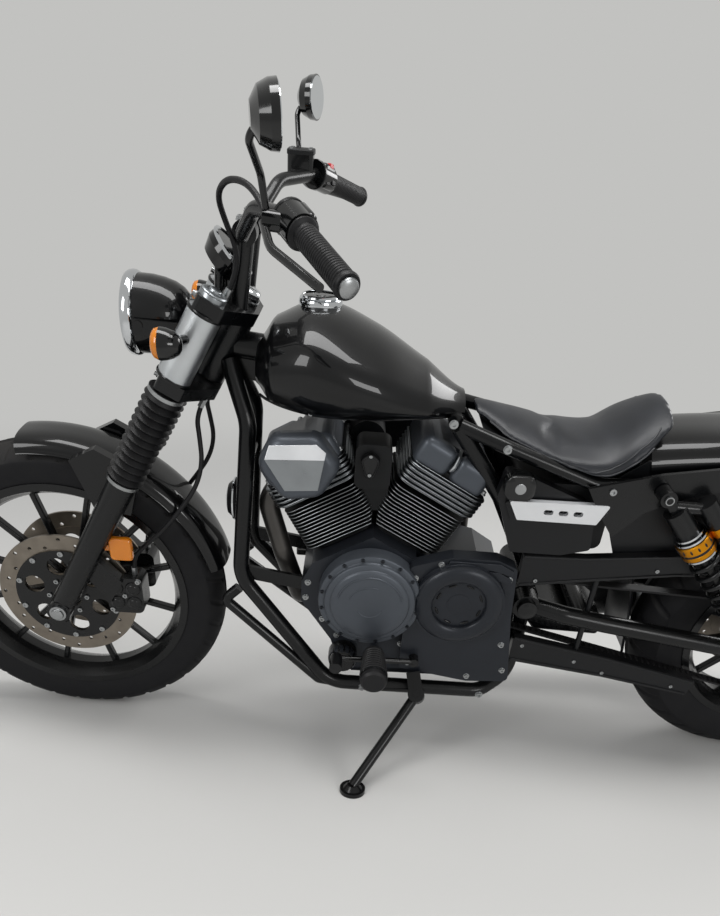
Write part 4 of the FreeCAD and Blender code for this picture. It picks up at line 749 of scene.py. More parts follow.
def stretchedSkin(form):
    # The pad's skin as cloth under a little air pressure, pinned at its base, moved by the cap at most
    mesh = bpy.data.meshes.new("seatForm")
    form.transform(Matrix.Scale(0.001, 4))
    form.to_mesh(mesh)
    form.free()
    ob = bpy.data.objects.new("seatForm", mesh)
    bpy.context.scene.collection.objects.link(ob)
    remesh = ob.modifiers.new("Remesh", "REMESH")
    remesh.mode, remesh.voxel_size = "VOXEL", seat["voxelMm"] / 1000
    ob.data = bpy.data.meshes.new_from_object(ob.evaluated_get(bpy.context.evaluated_depsgraph_get()))
    ob.modifiers.clear()
    rest = [v.co.copy() for v in ob.data.vertices]
    pinned = ob.vertex_groups.new(name="pinned")
    pinned.add([v.index for v in ob.data.vertices if v.normal.z < -0.6], 1.0, "REPLACE")
    settings = ob.modifiers.new("Cloth", "CLOTH").settings
    settings.use_pressure = True
    settings.uniform_pressure_force = seat["pressure"]
    settings.effector_weights.gravity = 0
    settings.vertex_group_mass = "pinned"
    settings.quality = 5
    for frameNumber in range(1, seat["frames"] + 1):
        bpy.context.scene.frame_set(frameNumber)
    evaluated = ob.evaluated_get(bpy.context.evaluated_depsgraph_get())
    cap = seat["capMm"] / 1000
    places = []
    for v, co in zip(evaluated.to_mesh().vertices, rest):
        shift = v.co - co
        if shift.length > cap:
            shift = shift.normalized() * cap
        places.append(co + shift)
    evaluated.to_mesh_clear()
    ob.modifiers.clear()
    bpy.context.scene.frame_set(1)
    bm = bmesh.new()
    bm.from_mesh(ob.data)
    bm.verts.ensure_lookup_table()
    for v, co in zip(bm.verts, places):
        v.co = co
    for _ in range(seat["smoothing"]):
        bmesh.ops.smooth_vert(bm, verts=bm.verts, factor=0.5, use_axis_x=True, use_axis_y=True,
                              use_axis_z=True)
    bm.transform(Matrix.Scale(1000, 4))
    bpy.data.objects.remove(ob)
    return bm


def seatSeams(form):
    # Piping round the pad and a stitched seam up each side, laid on the finished skin
    skin = BVHTree.FromBMesh(form)

    def onSkin(p):
        spot, normal = skin.find_nearest(p)[:2]
        return spot + normal * seat["seamProud"]

    piping, stitches = bmesh.new(), []
    low = [onSkin(row[20]) for row in seatRows[3:40]]
    tube(curveThrough(low, 120), seat["pipingR"], 8, piping)
    rise = []
    for k in range(18):  # the seam climbs from the side to the top, towards the rear
        share = k / 17
        row = seatRows[round(18 + 22 * share)]
        rise.append(onSkin(row[round(22 - 13 * share)]))
    line = curveThrough(rise, 80)
    tube(line, seat["seamR"], 8, piping)
    for a, b in zip(line[::2], line[1::2]):
        spot, along = onSkin(a + zAxis * seat["stitchUp"]), b - a
        stitches += [((spot.x, side * spot.y, spot.z), (along.x, side * along.y, along.z))
                     for side in (1, -1)]
    piece("seatPiping", mirrored(piping), "seatVinyl", "chassis", "seat_leather")
    return stitches


pad = skinOf(seatRows)
bmesh.ops.recalc_face_normals(pad, faces=pad.faces)
pad = stretchedSkin(pad)
stitches = seatSeams(pad)
piece("seatPad", pad, "seatVinyl", "chassis", "seat_leather", ["seat"], sharp=60, subdivide=1)
print("tank and seat")


# Fenders: arched skins with rolled lips

fenders = {
    "frontFenderSkin": {"at": (1570, 331), "radius": 350.0, "half": 60.0, "drop": 26.0,
                        "span": (82.0, 165.0, 90), "body": "steering", "replaces": []},
    "rearFenderTail": {"at": (60, 365), "radius": 432.0, "half": 99.6, "drop": 60.0,
                       "span": (152.0, 90.0, 70), "body": "chassis", "replaces": ["rear_fender"]},
    "rearFenderNose": {"at": (60, -1803), "radius": 2600.0, "half": 99.6, "drop": 60.0,
                       "span": (90.0, 81.7, 40), "body": "chassis", "replaces": []},
}
fenderEdge = {"thick": 3.0, "across": 18, "round": 2.6}


def fenderSkin(at, radius, half, drop, span):
    # span is the first angle, the last angle and the number of steps
    thick, across = fenderEdge["thick"], fenderEdge["across"]
    outer = []
    for k in range(-across, across + 1):
        u = k / across
        outer.append((radius + thick - (drop + thick) * abs(u) ** fenderEdge["round"],
                      half * math.sin(u * math.pi / 2)))
    edgeR, edgeY = outer[-1]
    lip = [(edgeR - 1.5, edgeY + 1.2), (edgeR - 3.5, edgeY - 0.6), (edgeR - 2.8, edgeY - 3.2)]
    inner = [(r - thick, y * 0.97) for r, y in reversed(outer[2:-2])]
    profile = outer + lip + inner + [(r, -y) for r, y in reversed(lip)]
    start, end, steps = span
    rows = []
    for n in range(steps + 1):
        t = math.radians(start + (end - start) * n / steps)
        rows.append([Vector((at[0] + r * math.cos(t), y, at[1] + r * math.sin(t))) for r, y in profile])
    return skinOf(rows)


for name, arch in fenders.items():
    skin = fenderSkin(arch["at"], arch["radius"], arch["half"], arch["drop"], arch["span"])
    piece(name, skin, "enamelBlack", arch["body"], "gloss_black", arch["replaces"], sharp=40)
print("fenders")


# Headlight and signals: profiles are (radius, distance along the axis)

lamp = {
    "at": (1348, 0, 905), "sides": 96,
    "bucket": [(0, -78), (12, -77.6), (25, -75.4), (37, -69.5), (47.5, -60), (55.5, -46), (61, -28),
               (64.4, -8), (65, 8), (65, 17.5), (62, 17.5)],
    "rim": [(62, 16), (67, 17), (69.4, 21), (70, 26), (69, 32), (66, 36.5), (62, 38), (60, 36), (59.5, 30),
            (59.5, 18), (62, 16)],
    "reflector": [(59.6, 24), (54, 8), (45, -8), (34, -20), (22, -28), (10, -31), (0, -31)],
    "bulb": [(0, 12), (6, 10), (8, 4), (8, -16), (12, -18), (12, -28), (0, -28)],
    "glass": [(59.8, 26), (54, 32), (42, 37.5), (28, 41), (14, 43), (0, 43.5), (0, 41), (14, 40.5),
              (28, 38.5), (42, 35), (54, 29.5), (59, 24), (59.8, 26)],
}


def lampPart(name, part, finish, slot, **more):
    turnedPiece(name, lamp[part], lamp["at"], xAxis, 32 if part == "bulb" else lamp["sides"], finish,
                "steering", slot, **more)


lampPart("headlightBucket", "bucket", "enamelBlack", "gloss_black", replaces=["headlight_shell"], sharp=50)
lampPart("headlightRim", "rim", "chromePlate", "lamp_glass", replaces=["headlight_lens"], sharp=50)
lampPart("headlightReflector", "reflector", "silveredGlass", "mirror_face")
lampPart("headlightBulb", "bulb", "lampGlass", "lamp_glass")
lampPart("headlightGlass", "glass", "lampGlass", "lamp_glass", sharp=60)

signals = {
    "case": [(0, -28), (8, -27), (15, -23), (20.5, -15), (24, -5), (25.5, 4), (25.5, 8), (23, 8.5)],
    "lens": [(24.5, 6), (24.5, 10), (22.5, 16), (17, 20), (9, 22), (0, 22.5)],
    "stalkR": 8.0,
    "pairs": [("frontSignal", Vector((1286, 168, 905)), Vector((1260, 118, 901)), xAxis, "steering",
               "front_signals"),
              ("rearSignal", Vector((-271.5, 156, 595.4)), Vector((-267.5, 92, 595.4)), -xAxis, "chassis",
               "rear_signals")],
}
for name, at, root, ahead, body, node in signals["pairs"]:
    case = lathe(signals["case"], at, ahead, 40)
    tube([root, root.lerp(at, 0.5), at - ahead * 4], signals["stalkR"], 16, case)
    piece(name + "Case", mirrored(case), "glossAbs", body, "gloss_plastic", [node], sharp=40)
    turnedPiece(name + "Lens", signals["lens"], at, ahead, 40, "amberLens", body, "amber_plastic", twin=True,
                sharp=40)
print("lamps")


def crankPoint(angle, x, y, z):
    # A point of a cylinder's own upright drawing, leaned over the crank
    t = math.radians(angle)
    return Vector((engine["crank"][0] + x * math.cos(t) + z * math.sin(t), y,
                   engine["crank"][1] - x * math.sin(t) + z * math.cos(t)))


def sheet(outline, holes, y1, y2):
    # Flat plate with openings, between two distances from the middle plane
    bm = bmesh.new()
    loops = [outline] + list(holes)
    edges = []
    for loop in loops:
        verts = [bm.verts.new((x, y1, z)) for x, z in loop]
        edges += [bm.edges.new((verts[k], verts[(k + 1) % len(verts)])) for k in range(len(verts))]
    made = bmesh.ops.triangle_fill(bm, use_beauty=True, use_dissolve=False, edges=edges)
    faces = [f for f in made["geom"] if isinstance(f, bmesh.types.BMFace)]
    raised = bmesh.ops.extrude_face_region(bm, geom=faces)
    for v in raised["geom"]:
        if isinstance(v, bmesh.types.BMVert):
            v.co.y = y2
    return bm


def circle(x, z, r, steps=40):
    turn = [math.radians(360.0 * k / steps) for k in range(steps)]
    return [(x + r * math.cos(t), z + r * math.sin(t)) for t in turn]


studSet("seatStitches", stitches, "chassis", seat["stitch"], "seamThread")

# Engine

engine = {
    "crank": (925.0, 425.0), "lean": {"front": 30.0, "rear": -28.0},
    "barrelFins": 13, "barrelPitch": 7.4, "barrelFrom": 126.0, "barrelHalf": 82.0, "finThick": 2.6,
    "headFins": 6, "headPitch": 9.2, "headFrom": 230.0, "headHalf": (84.0, 88.0),
}


def finBands():
    # The fins' machined edges catch the light; behind them a web closes the heads' gaps
    vee = math.tan(math.radians((engine["lean"]["front"] - engine["lean"]["rear"]) / 2))
    pitch, first = engine["headPitch"], engine["headFrom"]
    barrel, head = (engine["barrelHalf"], engine["barrelHalf"]), engine["headHalf"]
    sets = [("barrel", engine["barrelFins"], engine["barrelPitch"], engine["barrelFrom"], barrel, 24.0, 2.0),
            ("head", engine["headFins"], pitch, first, head, 26.0, 2.0),
            ("web", engine["headFins"] - 1, pitch, first + pitch / 2, head, 26.0, 14.0)]
    for side, lean in engine["lean"].items():
        for part, count, pitch, start, half, corner, wide in sets:
            heights = [start + k * pitch for k in range(count)]
            mesh = bpy.data.meshes.new(side + part)
            mesh.from_pydata([(0, 0, z + engine["finThick"] / 2) for z in heights], [], [])
            reach = mesh.attributes.new("reach", "FLOAT", "POINT")
            for k, z in enumerate(heights):
                reach.data[k].value = min(half[0] + 1, z * vee - 4.5) if part == "barrel" else half[0] + 1
            ob = bpy.data.objects.new(side + part.capitalize() + "Edges", mesh)
            bpy.context.scene.collection.objects.link(ob)
            runTree(ob, finEdges, {
                "Half length": half[0] - 0.4, "Half width": half[1] - 0.4, "Corner": corner,
                "Band width": wide, "Band height": 1.5, "Trim side": -1.0 if side == "front" else 1.0,
                "Material": materials["machinedAluminium"]})
            lift = Matrix.Translation((engine["crank"][0], 0,
                                       engine["crank"][1])) @ Matrix.Rotation(math.radians(lean), 4, "Y")
            ob.data.transform(park @ lift)
            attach(ob, "chassis")


finBands()


def facetPlate(name, outline, ridge, y, rise, finish):
    # A plate that climbs to its ridge; ridge holds the numbers of the outline's raised points
    bm = bmesh.new()
    low = [bm.verts.new((x, y, z)) for x, z in outline]
    top = [bm.verts.new((x, y + (rise if k in ridge else 2), z)) for k, (x, z) in enumerate(outline)]
    count = len(outline)
    for k in range(count):
        n = (k + 1) % count
        bm.faces.new((low[k], low[n], top[n], top[k]))
    bm.faces.new(list(reversed(low)))
    bm.faces.new(top)
    piece(name, bm, finish, "chassis", "cast_aluminium", bevel=0.6)


sideCap = {
    "outline": [(1150, 700), (1122, 756), (1038, 764), (994, 706), (1030, 645), (1100, 634)],
    "middle": (1074, 701), "corner": 30.0,
    "steps": [(0.9, 115.5), (1.0, 119), (1.0, 132), (0.985, 139.5), (0.95, 146), (0.9, 151), (0.82, 155),
              (0.74, 156.6), (0.3, 157)],
    "post": [(9, 58), (9, 118)], "postAt": Vector((1063, 0, 664)),
    "upper": [(1131, 721), (1124, 744), (1041, 751), (1024, 737), (1026, 727)],
    "lower": [(1131, 720.8), (1026, 726.8), (1036, 665), (1096, 660)], "plateY": 156.2, "plateRise": 10.0,
}
cap = skinOf(steppedRows(roundedOutline(sideCap["outline"], sideCap["corner"], 8), sideCap["middle"],
                         sideCap["steps"]))
lathe(sideCap["post"], sideCap["postAt"], yAxis, 24, cap)
piece("sideCapBody", cap, "castGrey", "chassis", "case_grey", ["side_cap"], sharp=60)
# The side cap's plate as lit and shaded copies: the upper facet in brighter satin silver is a painted
# highlight, the lower in darker machined aluminium is painted shade
facetPlate("sidePlateUpper", sideCap["upper"], (0, 4), sideCap["plateY"], sideCap["plateRise"], "satinSilver")
facetPlate("sidePlateLower", sideCap["lower"], (0, 1), sideCap["plateY"], sideCap["plateRise"],
           "machinedAluminium")

covers = {
    "low": 270.0, "high": 330.0, "half": 88.0, "round": 17.0, "reach": 78.0, "gap": 3.0,
    "shift": {"front": 0, "rear": 6},
    "core": 60.0, "coreRound": 12.0, "clip": [(84, 296), (89, 304), (83, 319), (72, 326), (64, 328)],
    "clipR": 6.0, "nuts": (76, 70, 288),
}


def lobe(bm, lean, x1, x2):
    # One rounded block on the head, from x1 to x2 along the cylinder's own front-to-back line
    corners = []
    for y in (-covers["half"], covers["half"]):
        for x, z in ((x1, covers["low"]), (x2, covers["low"]), (x2, covers["high"]), (x1, covers["high"])):
            corners.append(bm.verts.new(crankPoint(lean, x, y, z)))
    for a, b, c, d in ((0, 1, 2, 3), (7, 6, 5, 4), (0, 4, 5, 1), (1, 5, 6, 2), (2, 6, 7, 3), (3, 7, 4, 0)):
        bm.faces.new((corners[a], corners[b], corners[c], corners[d]))


for side, lean in engine["lean"].items():  # rocker covers: two smooth lobes, a bright clip between them
    near = covers["shift"][side]
    lobes = bmesh.new()
    lobe(lobes, lean, near - covers["reach"], near - covers["gap"])
    lobe(lobes, lean, near + covers["gap"], near + covers["reach"])
    replaced = ["head_covers"] if side == "front" else []
    block = piece(side + "CoverLobes", lobes, "castGrey", "chassis", "case_grey", replaced,
                  bevel=covers["round"], sharp=60)
    block.modifiers["Bevel"].segments = 6
    core = bmesh.new()
    lobe(core, lean, -covers["core"], covers["core"])
    bmesh.ops.scale(core, vec=(1, 0.8, 1), verts=core.verts)
    piece(side + "CoverCore", core, "castDark", "chassis", "case_grey", bevel=covers["coreRound"])
    clip = bmesh.new()
    tube(curveThrough([crankPoint(lean, near, y, z) for y, z in covers["clip"]], 30), covers["clipR"], 12,
         clip, flat=0.5)
    piece(side + "CoverClip", mirrored(clip), "brushedAluminium", "chassis", "cast_aluminium")
    up = crankPoint(lean, 0, 0, 1) - crankPoint(lean, 0, 0, 0)
    nutX, nutY, nutZ = covers["nuts"]
    spots = [(crankPoint(lean, x, y, nutZ), up) for x in (-nutX, nutX) for y in (-nutY, nutY)]
    screwSet(side + "HeadNuts", spots, 5.5, 6.0)

generator = {
    "profile": [(0, 100), (104, 100), (104, 143), (102.5, 146.5), (100, 148), (93, 148), (91.5, 149.5),
                (90.5, 154),
                (87.5, 156.3), (80, 157), (78, 160), (75, 162), (62, 163.2), (40, 164), (0, 164.2)],
    "bolts": 16, "boltR": 98.0, "boltY": 149.4,
    "ridges": [(66, 15, 165), (44, 20, 110), (26, 200, 330)], "ridgeY": 163.0,
}
crankX, crankZ = engine["crank"]
turnedPiece("generatorDome", generator["profile"], (crankX, 0, crankZ), yAxis, 128, "castGrey", "chassis",
            "case_grey", replaces=["generator_cover"], sharp=35)
rim = ringOf(crankX, generator["boltY"], crankZ, generator["boltR"], generator["bolts"], 11)
screwSet("generatorBolts", rim, 3.2, 3.4, finish="castDark")
ridges = bmesh.new()
for r, first, last in generator["ridges"]:  # crescents on the dome's face
    turns = [math.radians(t) for t in range(first, last + 1, 5)]
    tube([Vector((crankX + r * math.cos(t), generator["ridgeY"], crankZ + r * math.sin(t))) for t in turns],
         2.0, 8, ridges)
piece("generatorRidges", ridges, "castGrey", "chassis", "case_grey")

pulleyCover = {
    "at": (745.0, 430.0),
    "boss": [(53.6, 142.4), (54, 148.4), (56, 151), (62, 154), (70, 155.6), (78, 154.6), (85, 151.4),
             (90, 146.5), (93, 139), (93.6, 133), (88, 133)],
    "hub": [(0, 143.5), (20, 143.5), (24, 142.6), (24, 142.2)],
    "slots": 8, "slotR": 46.0, "slotY": 142.8, "slotSize": (18, 5, 5),
    "bolts": [(838, 480), (790, 515), (700, 515), (652, 490), (640, 330), (626, 262), (700, 240), (832, 268)],
    "boltY": 135.8,
    "shelves": [(526, 519), (508, 500)],
}
x, z = pulleyCover["at"]
boss = lathe(pulleyCover["boss"], Vector((x, 0, z)), yAxis, 96)
lathe(pulleyCover["hub"], Vector((x, 0, z)), yAxis, 48, boss)
piece("pulleyBoss", boss, "castDark", "chassis", "satin_black", sharp=35)
# Black bars on the cover's rim: painted shade standing in for the recessed slots
slots = []
for (px, py, pz), way in ringOf(x, pulleyCover["slotY"], z, pulleyCover["slotR"], pulleyCover["slots"], 22.5):
    slots.append(((px, py, pz), (z - pz, 0, px - x)))
studSet("pulleySlotShades", slots, "chassis", pulleyCover["slotSize"], "powderBlack")
screwSet("pulleyCoverBolts", onSide(pulleyCover["bolts"], pulleyCover["boltY"]), 5.2, 5.0)
shelves = bmesh.new()
for top, low in pulleyCover["shelves"]:  # two steps across the cover's upper rear corner
    shelf = [(776, top), (676, top), (646, low - 8), (650, low - 18), (690, low - 8), (776, low - 8)]
    slab(roundedOutline(shelf, 3, 3), 133, 139, shelves)
piece("pulleyShelves", shelves, "castDark", "chassis", "satin_black", bevel=1.5)

crankcase = {
    "bolts": [(1052, 440), (1056, 404), (1020, 352), (988, 312), (884, 240), (850, 300), (868, 500)],
    "boltY": 113.8,
    "clutchAt": (915, 415), "clutch": [(0, -170), (70, -169), (78, -167), (84, -161), (86, -155), (86, -150)],
    "ribFrom": 728, "ribTo": 950, "ribPitch": 26, "ribWide": 9, "ribZ": (201.5, 212), "ribY": (-84, 88),
}
screwSet("caseBolts", onSide(crankcase["bolts"], crankcase["boltY"]), 5.0, 4.5)
x, z = crankcase["clutchAt"]
screwSet("rightCaseBolts", ringOf(x, -155.5, z, 101, 12, 15, (0, -1, 0)), 4.2, 4.0)
ribs = bmesh.new()
low, high = crankcase["ribZ"]
for px in range(crankcase["ribFrom"], crankcase["ribTo"], crankcase["ribPitch"]):
    end = px + crankcase["ribWide"]
    slab([(px, low), (end, low), (end, high), (px, high)], *crankcase["ribY"], ribs)
piece("sumpRibs", ribs, "castGrey", "chassis", "case_grey", bevel=1.5)
turnedPiece("clutchDome", crankcase["clutch"], (x, 0, z), yAxis, 96, "castDark", "chassis", "case_grey",
            sharp=35)

oilFilter = {  # fluted at its outer end: rings are (y, radius, share of the flutes' depth)
    "at": (972, 270), "flutes": 15, "deep": 1.5,
    "rings": [(112.2, 30.6, 0), (128, 30.8, 0), (131, 30.8, 1), (143, 30.2, 1), (149, 27.2, 1),
              (152.6, 23.5, 0), (152.7, 8, 0)],
}
rows = []
for y, r, share in oilFilter["rings"]:
    ring = []
    for k in range(2 * oilFilter["flutes"]):
        t, reach = math.pi * k / oilFilter["flutes"], r - oilFilter["deep"] * share * (k % 2)
        ring.append(Vector((oilFilter["at"][0] + reach * math.cos(t), y,
                            oilFilter["at"][1] + reach * math.sin(t))))
    rows.append(ring)
piece("oilFilterCan", skinOf(rows), "lacquerBlack", "chassis", "satin_black", sharp=40)

intake = {
    "outline": [(926, 704), (944, 718), (962, 704), (951, 668), (937, 668)], "corner": 9,
    "middle": (944, 693),
    "steps": [(1.04, 90), (1.04, 94.5), (0.95, 97.5), (0.86, 97.5), (0.8, 95.5), (0.5, 95.2)],
    "screws": [(944, 711), (944, 674)], "screwY": 98.2,
}
rows = steppedRows(roundedOutline(intake["outline"], intake["corner"], 6), intake["middle"], intake["steps"])
piece("intakeCap", skinOf(rows), "lacquerBlack", "chassis", "satin_black", sharp=35)
screwSet("intakeScrews", onSide(intake["screws"], intake["screwY"]), 2.6, 2.0)

exhaust = {
    "flanges": {"front": ((1118, 30, 612), (0.9, 0.05, -0.45)), "rear": ((787, -96, 648), (-0.1, -1, -0.1))},
    "flange": [(20.5, -5), (30, -5), (31, -3), (31, 3), (30, 5), (20.5, 5)],
    "from": Vector((560, -198, 240)), "to": Vector((-60, -208, 300)), "radii": (46, 54),
    "bands": [(0.01, 16), (0.5, 14), (0.985, 14)],
    "tip": [(32.6, -6), (40.6, -6), (41.6, -3), (41.6, 1.5), (38, 3.2), (34, 2.2), (32.6, 0)],
    "tipAt": (-110, -208, 305),
}
for side, (spot, way) in exhaust["flanges"].items():
    turnedPiece(side + "PipeFlange", exhaust["flange"], spot, Vector(way).normalized(), 40, "headerSteel",
                "chassis", "bright_steel", sharp=40)
bands = bmesh.new()
way, long = (exhaust["to"] - exhaust["from"]).normalized(), (exhaust["to"] - exhaust["from"]).length
for share, wide in exhaust["bands"]:
    r = exhaust["radii"][0] + (exhaust["radii"][1] - exhaust["radii"][0]) * share
    band = [(r - 2, -wide / 2), (r + 1.6, -wide / 2), (r + 2.4, 0), (r + 1.6, wide / 2), (r - 2, wide / 2)]
    lathe(band, exhaust["from"].lerp(exhaust["to"], share), way, 64, bands)
piece("mufflerBands", bands, "brushedAluminium", "chassis", "bright_steel", sharp=40)
sleeve = [(40, -1), (47, 0), (47.2, 2), (54.6, long - 2), (54.4, long), (48, long + 1)]
turnedPiece("mufflerSleeve", sleeve, exhaust["from"], way, 72, "lacquerBlack", "chassis", "satin_black",
            sharp=40)
turnedPiece("mufflerTipRing", exhaust["tip"], exhaust["tipAt"], way, 64, "chromePlate", "chassis",
            "bright_steel", sharp=40)

airCleaner = {"outline": [(872, 652), (1038, 652), (1038, 748), (872, 748)], "corner": 32,
              "y": (-232.2, -236), "screws": [(890, 700), (1020, 700)]}
plate = slab(roundedOutline(airCleaner["outline"], airCleaner["corner"], 6), *airCleaner["y"])
piece("airCleanerPlate", plate, "brushedAluminium", "chassis", "cast_aluminium", bevel=1.2)
screwSet("airCleanerScrews", onSide(airCleaner["screws"], -236.6), 5.5, 3.5)
dish = [(41, 7), (43.4, 8), (43.4, 11), (40, 12), (31, 17), (30, 22), (22, 25), (10, 27.4), (0, 27.8)]
turnedPiece("hornDish", dish, (1202, 0, 560), xAxis, 64, "chromePlate", "chassis", "bright_steel", sharp=40)
print("engine")


# Fork, bars and brakes

fork = {
    "capS": 1082.0, "gaiterLow": 690.0, "gaiterTop": 894.0, "lowerClamp": 910.0, "upperClamp": 1062.0,
    "cap": [(0, 7), (9, 7), (10.5, 5.8), (11, 3), (19.5, 2.6), (22, 1.2), (23.4, -1.5), (23.4, -19),
            (20, -19)],
    "rim": [(29, -2.6), (31.4, -2.6), (32, -1.2), (32, 1.2), (31.4, 2.6), (29, 2.6)],
    "nut": [(0, 12), (12, 12), (17, 10), (20.5, 6), (20.5, -4), (24, -4.5), (24, -8)],
    "axleCap": [(0, 134), (9, 134), (12, 132), (13, 128), (17, 127), (17, 122)], "axle": (1570, 0, 331),
}


def onLeg(s):
    return onFork(s, steer["offset"], steer["legY"])


turnedPiece("forkCaps", fork["cap"], onLeg(fork["capS"]), upFork, 48, "machinedAluminium", "steering",
            "bright_steel", twin=True, sharp=40)
ties = bmesh.new()
for s, r in ((fork["gaiterLow"] + 5, 31.2), (fork["gaiterTop"] - 4, 31.8)):
    lathe([(r - 1.5, -3.4), (r + 0.9, -3.4), (r + 0.9, 3.4), (r - 1.5, 3.4)], onLeg(s), upFork, 48, ties)
piece("gaiterTies", mirrored(ties), "zincSteel", "steering", "bright_steel", sharp=40)
coverRims = bmesh.new()
for s in (fork["lowerClamp"] + 14, fork["upperClamp"] - 14):
    lathe(fork["rim"], onLeg(s), upFork, 48, coverRims)
piece("coverRims", mirrored(coverRims), "lacquerBlack", "steering", "satin_black", sharp=40)
clampBolts = []
for s in (fork["lowerClamp"], fork["upperClamp"]):
    clampBolts += [(onFork(s, steer["offset"] + 28.5, side * (steer["legY"] - 8)), aheadFork)
                   for side in (1, -1)]
screwSet("clampBolts", clampBolts, 5.0, 6.0, "steering")
turnedPiece("stemNut", fork["nut"], onFork(fork["upperClamp"] + 24, 0, 0), upFork, 6, "chromePlate",
            "steering", "bright_steel", sharp=30)
turnedPiece("frontAxleCaps", fork["axleCap"], fork["axle"], yAxis, 32, "zincSteel", "steering",
            "bright_steel", twin=True, sharp=40)

bar = {"headX": 1200.0, "end": Vector((997, 412, 1060)), "bend": Vector((1082, 262, 1108)), "gripLong": 135.0,
       "riserZ": 1052.0}
gripWay = (bar["end"] - bar["bend"]).normalized()
gripStart = bar["end"] - gripWay * bar["gripLong"]
switchAt = gripStart - gripWay * 23
leverRoot = switchAt + Vector((34, 4, 4))


def flipped(p):
    return Vector((p.x, -p.y, p.z))


grip = {
    "count": 22, "from": 12.0, "to": 126.0, "r": 17.0, "deep": 1.1,
    "collar": [(11.4, 0), (21, 0), (22, 1), (22, 4), (21, 5), (16.5, 7)],
    "tail": [(18, 130), (18.4, 133), (17, 136.4), (0, 137)],
    "cap": [(0, 144), (10, 143.5), (13, 141), (13.5, 137.5)],
}
ribbed = []
pitch = (grip["to"] - grip["from"]) / grip["count"]
for k in range(grip["count"]):
    d = grip["from"] + k * pitch
    low, high = grip["r"] - grip["deep"], grip["r"]
    ribbed += [(low, d), (high, d + pitch * 0.2), (high, d + pitch * 0.7), (low, d + pitch * 0.9)]
turnedPiece("gripSleeves", grip["collar"] + ribbed + grip["tail"], gripStart, gripWay, 40, "mouldedRubber",
            "steering", "grip_rubber", twin=True, replaces=["grips"], sharp=30)
turnedPiece("barEnds", grip["cap"], gripStart, gripWay, 32, "zincSteel", "steering", "bright_steel",
            twin=True, sharp=40)

barUp = xAxis.cross(gripWay).normalized()
barTurn = Matrix((gripWay, barUp.cross(gripWay), barUp)).transposed()
farTurn = Matrix.Scale(-1, 3, yAxis) @ barTurn


def blockOn(bm, offset, size, far=False):
    # A block by the switches on the bar's own axes, along the grip, forward and up, on the far side if asked
    spot = switchAt + Vector(offset)
    centre, turn = (flipped(spot), farTurn) if far else (spot, barTurn)
    for v in bmesh.ops.create_cube(bm, size=1.0)["verts"]:
        v.co = centre + turn @ Vector((v.co.x * size[0], v.co.y * size[1], v.co.z * size[2]))
    return bm


pods = bmesh.new()
for far in (False, True):
    blockOn(pods, (-4, 0, 0), (40, 36, 42), far)
piece("switchPods", pods, "glossAbs", "steering", "gloss_plastic", bevel=7.0, sharp=40)
piece("stopSwitch", blockOn(bmesh.new(), (-16, 2, 18), (15, 12, 9), True), "redAbs", "steering",
      "gloss_plastic", bevel=2.0)
keys = bmesh.new()
blockOn(keys, (-22, 6, 10), (12, 9, 7))
blockOn(keys, (-23, -8, -2), (13, 8, 8))
blockOn(keys, (-23, -4, -8), (12, 7, 8), True)
piece("switchKeys", keys, "mouldedRubber", "steering", "matte_plastic", bevel=1.5)
collars = bmesh.new()
for spot, way in ((switchAt, gripWay), (flipped(switchAt), flipped(gripWay))):
    lathe([(23.5, -23), (25.2, -22), (25.2, -18), (23.5, -17)], spot, way, 40, collars)
piece("podBands", collars, "lacquerBlack", "steering", "satin_black", sharp=40)

reservoir = {"at": flipped(switchAt + Vector((36, -20, 26))), "half": (25, 27), "corner": 7,
             "screws": (17, 19), "steps": [(1, 11), (1, 17.5), (0.96, 19), (0.5, 19.3)]}
px, py = reservoir["half"]
lid = roundedOutline([(-px, -py), (px, -py), (px, py), (-px, py)], reservoir["corner"], 4)
rows = [[reservoir["at"] + Vector((x * share, y * share, z)) for x, y in lid]
        for share, z in reservoir["steps"]]
piece("reservoirLid", skinOf(rows), "castBlack", "steering", "satin_black", sharp=35)
px, py = reservoir["screws"]
spots = [(reservoir["at"] + Vector((x, y, 19.4)), (0, 0, 1)) for x in (-px, px) for y in (-py, py)]
screwSet("reservoirScrews", spots, 3.2, 2.2, "steering")
risers = []
for side in (1, -1):
    spot = Vector((bar["headX"] - 28, side * 45, bar["riserZ"] + 20.6))
    risers += [(spot + Vector((x, y, 0)), (0, 0, 1)) for x in (-9, 9) for y in (-8, 8)]
screwSet("riserBolts", risers, 3.8, 4.5, "steering")

dial = {
    "at": onFork(fork["upperClamp"] + 38, 66, 0), "way": (upFork * 0.9 - aheadFork * 0.35).normalized(),
    "bezel": [(39, 30), (44.4, 30), (45.6, 32), (45, 35), (41, 36.2), (38.8, 34.5)],
    "face": [(0, 34.2), (39, 33.8), (39.2, 32.2)],
    "marks": 21, "markR": 33.0, "markFrom": -30, "markSpan": 240, "markUp": 34.3, "markSize": (5.0, 1.0, 0.5),
}
turnedPiece("dialBezel", dial["bezel"], dial["at"], dial["way"], 64, "chromePlate", "steering", "chrome_trim",
            sharp=40)
turnedPiece("dialFace", dial["face"], dial["at"], dial["way"], 64, "glossAbs", "steering", "gloss_plastic")
across = dial["way"].cross(yAxis).normalized()
marks = []
for k in range(dial["marks"]):  # marks without figures, evenly round the dial
    t = math.radians(dial["markFrom"] + dial["markSpan"] * k / (dial["marks"] - 1))
    outward = yAxis * math.cos(t) + across * math.sin(t)
    marks.append((dial["at"] + dial["way"] * dial["markUp"] + outward * dial["markR"], outward))
studSet("dialMarks", marks, "steering", dial["markSize"], "brushedAluminium")

